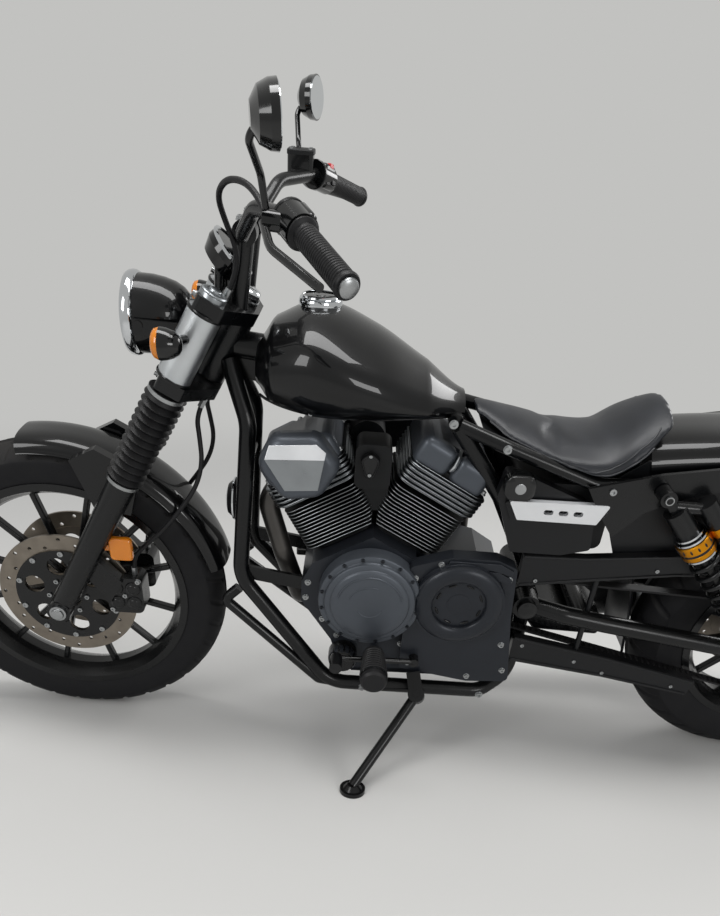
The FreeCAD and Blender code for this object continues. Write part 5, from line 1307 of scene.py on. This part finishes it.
hoses = {"radius": 4.5}
clampFoot = onFork(fork["lowerClamp"] - 12, -14, 48)
caliperTop = Vector((1420, 56, 397))
hosePoints = [clampFoot, clampFoot - upFork * 36, clampFoot + Vector((12, 8, -72)),
              clampFoot + Vector((8, 18, -118)), clampFoot + Vector((22, 26, -166)),
              clampFoot + Vector((54, 28, -212)), caliperTop + Vector((-72, 19, 116)),
              caliperTop + Vector((-27, 12, 73)), caliperTop + Vector((0, 0, 37)), caliperTop]
cableEnd = onFork(fork["upperClamp"] + 12, 30, 70)
cablePoints = [leverRoot + Vector((6, -13, 5)), leverRoot + Vector((22, -46, 24)),
               leverRoot + Vector((48, -82, 34)), leverRoot + Vector((76, -118, 28)),
               leverRoot + Vector((94, -154, 4)), cableEnd + Vector((-10, 26, 120)),
               cableEnd + Vector((-26, 10, 76)), cableEnd + upFork * 40, cableEnd]


def cordPiece(name, points, node):
    data = bpy.data.curves.new(name, "CURVE")
    data.dimensions = "3D"
    spline = data.splines.new("NURBS")
    spline.points.add(len(points) - 1)
    placed = [park @ p for p in points]
    for held, p in zip(spline.points, placed):
        held.co = (*p, 1)
    spline.order_u = 3
    spline.use_endpoint_u = True
    spline.resolution_u = 12
    data.bevel_depth, data.bevel_resolution, data.use_fill_caps = hoses["radius"] / 1000, 5, True
    ob = bpy.data.objects.new(name, data)
    bpy.context.scene.collection.objects.link(ob)
    data.materials.append(materials["mouldedRubber"])
    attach(ob, "steering")
    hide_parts(node)
    line = curveThrough(placed, 120)


cordPiece("brakeHoseLeft", hosePoints, "hose_left")
cordPiece("brakeHoseRight", [flipped(p) for p in hosePoints], "hose_right")
cordPiece("clutchCable", cablePoints, "clutch_cable")
fittings = bmesh.new()
for side in (1, -1):
    foot, end = (clampFoot, caliperTop) if side > 0 else (flipped(clampFoot), flipped(caliperTop))
    tube([foot + upFork * 2, foot - upFork * 17], 6.6, 6, fittings)
    tube([end - zAxis * 2, end + zAxis * 17], 6.6, 6, fittings)
tube([cableEnd - upFork * 2, cableEnd + upFork * 20], 6.4, 16, fittings)
piece("hoseFittings", fittings, "zincSteel", "steering", "bright_steel", sharp=30)

brakes = {
    "ring": 107.0, "windows": 6, "windowAt": 72.0, "windowR": 21.0, "windowTurn": 20, "hole": 28.5,
    "front": {"axle": (1570, 331), "y": (55.6, 57.6)}, "rear": {"axle": (0, 323), "y": (-73.6, -75.6)},
    "pots": [(-148, 6), (-112, 6), (-148, 42), (-112, 42)],
    "pot": [(0, 83.4), (9, 83.2), (11, 81.6), (14.6, 80.8), (16, 79), (16, 76)],
    "bolts": [(-130, 24), (-160, 60), (-100, -12)], "boltY": 79.4,
}


def discCarrier(at, y):
    # The disc's carrier plate: arms between round windows
    holes = []
    for k in range(brakes["windows"]):
        t = math.radians(360 * k / brakes["windows"] + brakes["windowTurn"])
        centre = (brakes["windowAt"] * math.cos(t), brakes["windowAt"] * math.sin(t))
        holes.append([(at[0] + x, at[1] + z) for x, z in circle(*centre, brakes["windowR"], 28)])
    outline = [(at[0] + x, at[1] + z) for x, z in circle(0, 0, brakes["ring"] + 3.2, 90)]
    return sheet(outline, holes + [circle(*at, brakes["hole"], 40)], *y)


def onBoth(x, y, z, r, count, start=0):
    return ringOf(x, y, z, r, count, start) + ringOf(x, -y, z, r, count, start, (0, -1, 0))


x, z = brakes["front"]["axle"]
piece("frontDiscCarriers", mirrored(discCarrier((x, z), brakes["front"]["y"])), "lacquerBlack", "front_wheel",
      "satin_black", sharp=30)
screwSet("discBobbins", onBoth(x, 58.6, z, brakes["ring"] - 4, 10, 18), 6.0, 3.0, "front_wheel", 1.15)
screwSet("frontHubBolts", onBoth(x, 58.8, z, 40, 6), 5.0, 5.0, "front_wheel")
rearX, rearZ = brakes["rear"]["axle"]
piece("rearDiscCarrier", discCarrier((rearX, rearZ), brakes["rear"]["y"]), "lacquerBlack", "rear_wheel",
      "satin_black", sharp=30)
discBolts = ringOf(rearX, -76.4, rearZ, brakes["ring"] - 4, 8, 10, (0, -1, 0))
discBolts += ringOf(rearX, -76.6, rearZ, 42, 6, 0, (0, -1, 0))
screwSet("rearDiscBolts", discBolts, 5.4, 3.6, "rear_wheel")
pots = bmesh.new()
for px, pz in brakes["pots"]:
    lathe(brakes["pot"], Vector((x + px, 0, z + pz)), yAxis, 32, pots)
piece("caliperPots", mirrored(pots), "lacquerBlack", "steering", "satin_black", sharp=35)
spots = [(x + px, z + pz) for px, pz in brakes["bolts"]]
screwSet("caliperBolts", onSide(spots, brakes["boltY"]) + onSide(spots, -brakes["boltY"]), 5.0, 4.5,
         "steering")
reflector = {"outline": [(1406, 457), (1449, 457), (1449, 505), (1406, 505)], "corner": 8,
             "middle": (1427.5, 481),
             "steps": [(1, 100.6), (1, 103), (0.94, 104.4), (0.5, 104.6)]}
rows = steppedRows(roundedOutline(reflector["outline"], reflector["corner"], 4), reflector["middle"],
                   reflector["steps"])
piece("reflectorLenses", mirrored(skinOf(rows)), "amberLens", "steering", "amber_plastic", sharp=35)
print("front end")


# Filler cap, fasteners, side covers, shocks and rear end

filler = {
    "at": (1050, 0, 943), "ring": [(30, 10), (36.4, 10), (38, 6), (38, -1), (36, -4), (30, -4)],
    "bead": [(30.2, 6), (34, 13), (33, 15), (30.2, 15.4)],
    "disc": [(0, 14.6), (8, 14.6), (9, 13.6), (28, 14.2), (30.6, 13), (31, 6), (31, 0), (0, 0)],
}
collar = lathe(filler["ring"], Vector(filler["at"]), zAxis, 72)
lathe(filler["bead"], Vector(filler["at"]), zAxis, 72, collar)
piece("fuelCapRing", collar, "chromePlate", "chassis", "chrome_trim", ["fuel_cap"], sharp=35)
turnedPiece("fuelCapDisc", filler["disc"], filler["at"], zAxis, 72, "glossAbs", "chassis", "gloss_plastic",
            sharp=35)
seamPoints = [(1150, 66, 800), (1130, 86, 793), (1050, 109, 783), (950, 107, 783), (850, 85, 785),
              (790, 50, 781)]
seam = tube(curveThrough([Vector(p) for p in seamPoints], 60), 2.6, 8)
piece("tankSeams", mirrored(seam), "enamelBlack", "chassis", "gloss_black")

fasteners = {
    "left": [((598, 120.2, 412), (0, 1, 0))],
    "both": [((700, 112.5, 748), (0, 1, 0.1)), ((525, 122.4, 692), (0, 1, 0.1)),
             ((800, 88.6, 778), (0, 1, 0)),
             ((500, 135.2, 692), (0, 1, 0)), ((180, 135.2, 745), (0, 1, 0)), ((665, 139.4, 192), (0, 1, 0)),
             ((925, 139.4, 192), (0, 1, 0))],
    "tank": [(1056, 108.6), (985, 108.2)], "shocks": [(410, 173, 700), (110, 174, 372)],
}
right = [((x, -y, z), (0, -1, 0)) for (x, y, z), way in fasteners["both"]]
screwSet("frameBolts", fasteners["left"] + fasteners["both"] + right, 6.4, 5.0)
screwSet("tankBolts", [((x, side * y, 787), (0, side, 0)) for x, y in fasteners["tank"] for side in (1, -1)],
         3.8, 3.4)
shockBolts = [((x, side * y, z), (0, side, 0)) for side in (1, -1) for x, y, z in fasteners["shocks"]]
screwSet("shockBolts", shockBolts, 8.0, 6.0, washer=1.5)
screwSet("rearAxleNuts", [((0, side * 141, 323), (0, side, 0)) for side in (1, -1)], 13.0, 10.0, washer=1.4)
pivotCap = [(0, 124.6), (11, 124.2), (14, 122.6), (19.4, 121), (20, 118), (20, 111)]
turnedPiece("pivotCaps", pivotCap, (598, 0, 412), yAxis, 40, "lacquerBlack", "chassis", "satin_black",
            twin=True, sharp=35)

sideStrip = {"outline": [(684, 661), (664, 624), (514, 624), (496, 664)], "slots": (552, 580, 608),
             "slotZ": 643, "slotHalf": (9, 5), "y": (124, 136)}
slotHoles = []
for px in sideStrip["slots"]:
    (dx, dz), pz = sideStrip["slotHalf"], sideStrip["slotZ"]
    slotHoles.append(roundedOutline([(px - dx, pz - dz), (px + dx, pz - dz), (px + dx, pz + dz),
                                     (px - dx, pz + dz)], 4.5, 5))
strip = sheet(roundedOutline(sideStrip["outline"], 3, 3), slotHoles, *sideStrip["y"])
piece("sideStrip", strip, "satinSilver", "chassis", "cast_aluminium", sharp=30)
lock = {
    "outline": [(641.5, 663.5), (698.5, 663.5), (698.5, 712.5), (641.5, 712.5)], "corner": 18,
    "middle": (670, 688),
    "steps": [(1, 117), (1, 136), (0.985, 139), (0.94, 141), (0.6, 142.2), (0.2, 142.6)],
    "barrel": [(0, 144), (8, 144), (10, 143.4), (10.6, 142)],
}
rows = steppedRows(roundedOutline(lock["outline"], lock["corner"], 8), lock["middle"], lock["steps"])
piece("lockCanister", skinOf(rows), "glossAbs", "chassis", "gloss_plastic", sharp=50)
turnedPiece("lockBarrel", lock["barrel"], (670, 0, 688), yAxis, 32, "zincSteel", "chassis", "bright_steel",
            sharp=35)

shock = {
    "top": Vector((410, 154, 700)), "low": Vector((110, 154, 372)), "bodyShare": 0.68,
    "bottle": Vector((-74, 0, -6)),
    "collar": [(23, -1), (30, -1), (32.6, 1), (32.6, 9), (31.4, 10.5), (31.4, 14.5), (32.6, 16), (32.6, 33),
               (31, 35), (23, 35)],
    "bottleBand": [(17, -9), (20, -9), (20.8, -6), (20.8, 6), (20, 9), (17, 9)], "bottleBands": (-64, -112),
    "rings": [(-6, 31.0), (38, 31.0), (46, 27.5)],
    "foot": [(8.6, 44), (29, 44), (32, 41), (33.6, 35), (33.6, 24), (8.6, 24)],
    "notches": 14, "notchR": 32.6, "notchAt": 25.0, "notchSize": (10, 4, 3),
}
shockWay, shockLong = (shock["top"] - shock["low"]).normalized(), (shock["top"] - shock["low"]).length
collarAt = shock["low"] + shockWay * (shockLong * shock["bodyShare"])
gold = lathe(shock["collar"], collarAt, shockWay, 64)
for d in shock["bottleBands"]:
    lathe(shock["bottleBand"], shock["top"] + shock["bottle"] + shockWay * d, shockWay, 48, gold)
piece("shockGold", mirrored(gold), "anodisedGold", "chassis", "gold_anodised", sharp=35)
bright = bmesh.new()
for d, r in shock["rings"]:
    lathe([(22, d), (r, d), (r, d + 4), (22, d + 4)], collarAt, shockWay, 64, bright)
lathe(shock["foot"], shock["low"], shockWay, 64, bright)
piece("shockRings", mirrored(bright), "chromePlate", "chassis", "chrome_trim", sharp=35)
across = shockWay.cross(yAxis).normalized()
notches = []
for side in (1, -1):
    for k in range(shock["notches"]):
        t = 2 * math.pi * k / shock["notches"]
        outward = yAxis * math.cos(t) + across * math.sin(t)
        spot = collarAt + shockWay * shock["notchAt"] + outward * shock["notchR"]
        notches.append(((spot.x, side * spot.y, spot.z), shockWay))
studSet("collarNotches", notches, "chassis", shock["notchSize"], "powderBlack")

tailLamp = {"at": Vector((-304.9, 0, 657.4)), "half": (46, 27), "corner": 13,
            "case": [(22, 0.9), (20, 1), (-4, 1.01), (-6, 0.98)],
            "lens": [(-5, 0.97), (-16, 0.95), (-21, 0.86), (-22.5, 0.6), (-22.8, 0.2)],
            "foot": [(20, -24), (40, -24), (70, 16), (20, 19)]}
py, pz = tailLamp["half"]
lampOutline = roundedOutline([(-py, -pz), (py, -pz), (py, pz), (-py, pz)], tailLamp["corner"], 6)


def lampRows(steps):
    return [[tailLamp["at"] + Vector((d, y * share, z * share)) for y, z in lampOutline]
            for d, share in steps]


housing = skinOf(lampRows(tailLamp["case"]))
slab([(tailLamp["at"].x + x, tailLamp["at"].z + z) for x, z in tailLamp["foot"]], -20, 20, housing)
piece("tailLampHousing", housing, "glossAbs", "chassis", "gloss_plastic", ["rear_light"], sharp=40)
piece("tailLampLens", skinOf(lampRows(tailLamp["lens"])), "redLens", "chassis", "amber_plastic", sharp=50)

plate = {"way": Vector((-45.3, 0, -135)).normalized(), "out": Vector((-0.948, 0, 0.318)), "half": 95,
         "long": (2, 140), "beadHalf": 91, "beadLong": (6, 136), "screwY": 60, "screwAt": 14}
plate["top"] = Vector((-321.4, 0, 567.8)) + Vector((0.7, 0, -17)) + plate["out"] * 4.2


def onPlate(across, down, out):
    return plate["top"] + plate["way"] * down + yAxis * across + plate["out"] * out


def plateOutline(half, long, corner):
    return roundedOutline([(-half, long[0]), (half, long[0]), (half, long[1]), (-half, long[1])], corner, 5)


rows = [[onPlate(y, d, out) for y, d in plateOutline(plate["half"], plate["long"], 8)] for out in (0, 1.2)]
piece("numberPlate", skinOf(rows), "paintedPlate", "chassis", "matte_plastic", sharp=30)
screwSet("plateScrews", [(onPlate(side * plate["screwY"], plate["screwAt"], 2), plate["out"])
                         for side in (-1, 1)], 4.0, 2.5)
inset = [onPlate(y, d, 1.4) for y, d in plateOutline(plate["beadHalf"], plate["beadLong"], 6)]
piece("plateBead", tube(inset + inset[:1], 1.2, 6), "paintedPlate", "chassis", "matte_plastic")

peg = {"at": (908, 166, 316), "ribs": 9, "ribPitch": 8,
       "tail": [(27.4, 92), (26.6, 100), (22, 104.6), (0, 105)]}
profile = [(14.5, 0), (20.6, 8)]
for k in range(peg["ribs"]):
    d, r = 14 + peg["ribPitch"] * k, 21.4 + 7.2 * (6 + peg["ribPitch"] * k) / 80
    profile += [(r - 1.2, d - 2), (r + 0.8, d), (r + 0.8, d + 3), (r - 1.2, d + 5)]
pegs = bmesh.new()
for side in (1, -1):
    lathe(profile + peg["tail"], Vector((peg["at"][0], side * peg["at"][1], peg["at"][2])), yAxis * side, 40,
          pegs)
piece("pegRubbers", pegs, "mouldedRubber", "chassis", "grip_rubber", sharp=30)
padRibs = [((px, -258 + 6 * k, 333), (1, 0, 0)) for k in range(1, 9) for px in (1068, 1080, 1092)]
studSet("pedalRibs", padRibs, "chassis", (10, 2.4, 3), "mouldedRubber")

belt = {"pitch": 14.0, "pulley": (745.0, 430.0), "axle": (0.0, 323.0), "frontR": 45.0, "rearR": 118.0,
        "y": 84.0, "tooth": (20, 7, 5)}
(frontX, frontZ), (rearX, rearZ) = belt["pulley"], belt["axle"]
tilt = math.atan2(frontZ - rearZ, frontX - rearX)
spread = math.asin((belt["rearR"] - belt["frontR"]) / math.hypot(frontX - rearX, frontZ - rearZ))
teeth = []
for turn in (tilt + math.pi / 2 - spread, tilt - math.pi / 2 + spread):
    a = Vector((frontX + belt["frontR"] * math.cos(turn), belt["y"],
                frontZ + belt["frontR"] * math.sin(turn)))
    b = Vector((rearX + belt["rearR"] * math.cos(turn), belt["y"], rearZ + belt["rearR"] * math.sin(turn)))
    steps = int((b - a).length / belt["pitch"])
    teeth += [(a.lerp(b, (k + 0.5) / steps), (0, 1, 0)) for k in range(steps)]
studSet("beltTeeth", teeth, "chassis", belt["tooth"], "mouldedRubber")

innerFender = {
    "line": [(448, 712), (420, 640), (392, 560), (368, 470), (352, 400), (344, 330), (336, 268)], "count": 36,
    "right": 88.0, "left": 62.0, "thick": 3.0, "curl": 12.0,
    "across": (-1, -0.94, -0.8, -0.4, 0, 0.4, 0.8, 0.94, 1),
    "wall": [(486, 700), (474, 600), (440, 520), (345, 508), (318, 545), (270, 600), (200, 650), (140, 680),
             (150, 722), (300, 734), (400, 742), (436, 740)], "wallY": (91.5, 94.5),
}
line = curveThrough([Vector((x, 0, z)) for x, z in innerFender["line"]], innerFender["count"])
last = len(line) - 1
rows = []
for k, p in enumerate(line):  # its edges curl forward, away from the tyre
    way = (line[min(k + 1, last)] - line[max(k - 1, 0)]).normalized()
    ahead = Vector((-way.z, 0, way.x))
    outer = []
    for u in innerFender["across"]:
        side = innerFender["left"] if u > 0 else innerFender["right"]
        outer.append(p + ahead * (innerFender["curl"] * abs(u) ** 5) + yAxis * (side * u))
    rows.append(outer + [q + ahead * innerFender["thick"] for q in reversed(outer)])
piece("innerFender", skinOf(rows), "grainedAbs", "chassis", "matte_plastic", sharp=40)
walls = mirrored(slab(innerFender["wall"], *innerFender["wallY"]))
piece("innerFenderWalls", walls, "grainedAbs", "chassis", "matte_plastic", bevel=1)

plates = {
    # A dark plate of painted shade filling the gap between the swingarm's arms
    "swingGapShade": {"outline": [(572, 388), (500, 384), (430, 362), (404, 344), (420, 322), (560, 326),
                               (580, 350)], "y": (-84, 62),
                   "finish": "powderBlack", "slot": "frame_black", "bevel": 4},
    # Partly the seat's real base, partly painted shade: a black plate under the seat filling down to the
    # rails
    "seatBaseAndShade": {"outline": [(746, 770), (690, 748), (600, 722), (520, 702), (470, 712), (440, 735),
                            (440, 690), (560, 684), (700, 735)],
                "y": (-72, 72), "finish": "grainedAbs", "slot": "matte_plastic", "bevel": 3},
}
for name, plain in plates.items():
    piece(name, slab(plain["outline"], *plain["y"]), plain["finish"], "chassis", plain["slot"],
          bevel=plain["bevel"])

guard = {
    "lines": [[(628, 535), (505, 538), (420, 547), (320, 557), (200, 559), (84, 553)],
              [(626, 470), (470, 494), (320, 516), (200, 524), (64, 531)],
              [(610, 336), (400, 296), (196, 247)],
              [(609, 281), (400, 251), (203, 213)]],
    "y": 115.0, "r": 3.2, "bolts": [(596, 482), (360, 522), (590, 318), (470, 284), (402, 258), (240, 232)],
    "boltY": 115.6,
}
ridges = bmesh.new()
for line in guard["lines"]:
    tube([Vector((x, guard["y"], z)) for x, z in line], guard["r"], 10, ridges)
piece("guardRidges", ridges, "grainedAbs", "chassis", "matte_plastic")
screwSet("guardBolts", onSide(guard["bolts"], guard["boltY"]), 4.0, 3.4)

valves = {
    "front": [Vector((1799, 8, 331)), Vector((1775, 12, 331))],
    "rear": [Vector((0, 14, 515)), Vector((0, 20, 491))],
}
for side, line in valves.items():
    piece(side + "Valve", tube(line, 3.4, 12), "zincSteel", side + "_wheel", "bright_steel")
print("rear end")


# Floor, lights and camera

studio = {"plain": "#c2c2c0", "floor": "#c9c8c5", "soft": 0.44, "fadeFrom": 1.3, "fadeTo": 4.2, "reach": 60.0}


def seenRays(tree):
    # Rays on which the plain background shows: the camera's own, and through gloss and glass
    path = addNode(tree, "ShaderNodeLightPath").outputs
    first = addNode(tree, "ShaderNodeMath", {"operation": "MAXIMUM"},
                    {0: path["Is Camera Ray"], 1: path["Is Glossy Ray"]})
    return addNode(tree, "ShaderNodeMath", {"operation": "MAXIMUM"},
                   {0: first.outputs[0], 1: path["Is Transmission Ray"]}).outputs[0]


floorMesh = bmesh.new()
for x, y in ((-1, -1), (1, -1), (1, 1), (-1, 1)):
    floorMesh.verts.new((x * studio["reach"], y * studio["reach"], 0))
floorMesh.faces.new(floorMesh.verts)
floorData = bpy.data.meshes.new("studioFloor")
floorMesh.to_mesh(floorData)
floorMesh.free()
floor = bpy.data.objects.new("studioFloor", floorData)
bpy.context.scene.collection.objects.link(floor)
floorPaint = bpy.data.materials.new("paleFloor")
floorPaint.use_nodes = True
tree = floorPaint.node_tree
tree.nodes.clear()
away = addNode(tree, "ShaderNodeVectorMath", {"operation": "LENGTH"},
               {0: addNode(tree, "ShaderNodeTexCoord").outputs["Object"]})
fade = addNode(tree, "ShaderNodeMapRange", {"interpolation_type": "SMOOTHERSTEP"},
               {"Value": away.outputs["Value"], "From Min": studio["fadeFrom"], "From Max": studio["fadeTo"]})
share = addNode(tree, "ShaderNodeMath", times, {0: fade.outputs[0], 1: seenRays(tree)})
near = addNode(tree, "ShaderNodeBsdfPrincipled", inputs={"Base Color": toLinear(studio["floor"]),
        "Roughness": 0.8})
far = addNode(tree, "ShaderNodeEmission", inputs={"Color": toLinear(studio["plain"]), "Strength": 1.0})
ground = addNode(tree, "ShaderNodeMixShader", inputs={0: share.outputs[0], 1: near.outputs[0],
        2: far.outputs[0]})
addNode(tree, "ShaderNodeOutputMaterial", inputs={"Surface": ground.outputs[0]})
floor.data.materials.append(floorPaint)
floor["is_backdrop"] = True

world = bpy.data.worlds.new("studio")
bpy.context.scene.world = world
world.use_nodes = True
sky = world.node_tree
sky.nodes.clear()
soft = addNode(sky, "ShaderNodeBackground", inputs={"Color": toLinear("#e9ebee"), "Strength": studio["soft"]})
plain = addNode(sky, "ShaderNodeBackground", inputs={"Color": toLinear(studio["plain"]), "Strength": 1.0})
shown = addNode(sky, "ShaderNodeMixShader", inputs={0: seenRays(sky), 1: soft.outputs[0],
        2: plain.outputs[0]})
addNode(sky, "ShaderNodeOutputWorld", inputs={"Surface": shown.outputs[0]})

lights = [  # place, aim, size in metres, power in watts
    ("softboxTop", (0.1, 0.3, 3.2), (0, 0, 0.5), (3.0, 0.9), 70),
    ("softboxLeft", (2.6, 2.4, 2.1), (0.1, 0, 0.5), (1.2, 1.8), 46),
    ("softboxRear", (-2.6, -1.8, 2.2), (0, 0, 0.6), (1.8, 1.2), 46),
    ("softboxLow", (-1.8, 3.2, 1.3), (0, 0, 0.4), (1.4, 0.9), 30),
]
for name, place, aim, size, power in lights:
    data = bpy.data.lights.new(name, "AREA")
    data.shape, data.size, data.size_y, data.energy = "RECTANGLE", size[0], size[1], power
    ob = bpy.data.objects.new(name, data)
    ob.location = place
    ob.rotation_euler = (Vector(aim) - Vector(place)).to_track_quat("-Z", "Y").to_euler()
    bpy.context.scene.collection.objects.link(ob)

shot = {"place": (0.2131, 1.4144, 1.007), "yaw": -1.71, "pitch": 27.57, "roll": -4.46, "focalPx": 751.6,
        "middlePx": 650.0, "high": 916}
camData = bpy.data.cameras.new("photoView")
camera = bpy.data.objects.new("photoView", camData)
bpy.context.scene.collection.objects.link(camera)
yaw = Matrix.Rotation(math.radians(shot["yaw"]), 3, "Z")
right, forward = yaw @ Vector((-1, 0, 0)), yaw @ Vector((0, -1, 0))
dip = Matrix.Rotation(math.radians(-shot["pitch"]), 3, right)
forward, up = dip @ forward, dip @ zAxis
rollTurn = Matrix.Rotation(math.radians(shot["roll"]), 3, forward)
right, up = rollTurn @ right, rollTurn @ up
camera.matrix_world = Matrix.Translation(shot["place"]) @ Matrix((right, up, -forward)).transposed().to_4x4()
camData.sensor_width = 36.0
camData.lens = shot["focalPx"] / shot["high"] * camData.sensor_width
camData.shift_y = (shot["middlePx"] - shot["high"] / 2) / shot["high"]
camData.clip_start, camData.clip_end = 0.05, 60
bpy.context.scene.camera = camera
bpy.context.scene.view_settings.view_transform = "Standard"

low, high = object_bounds()
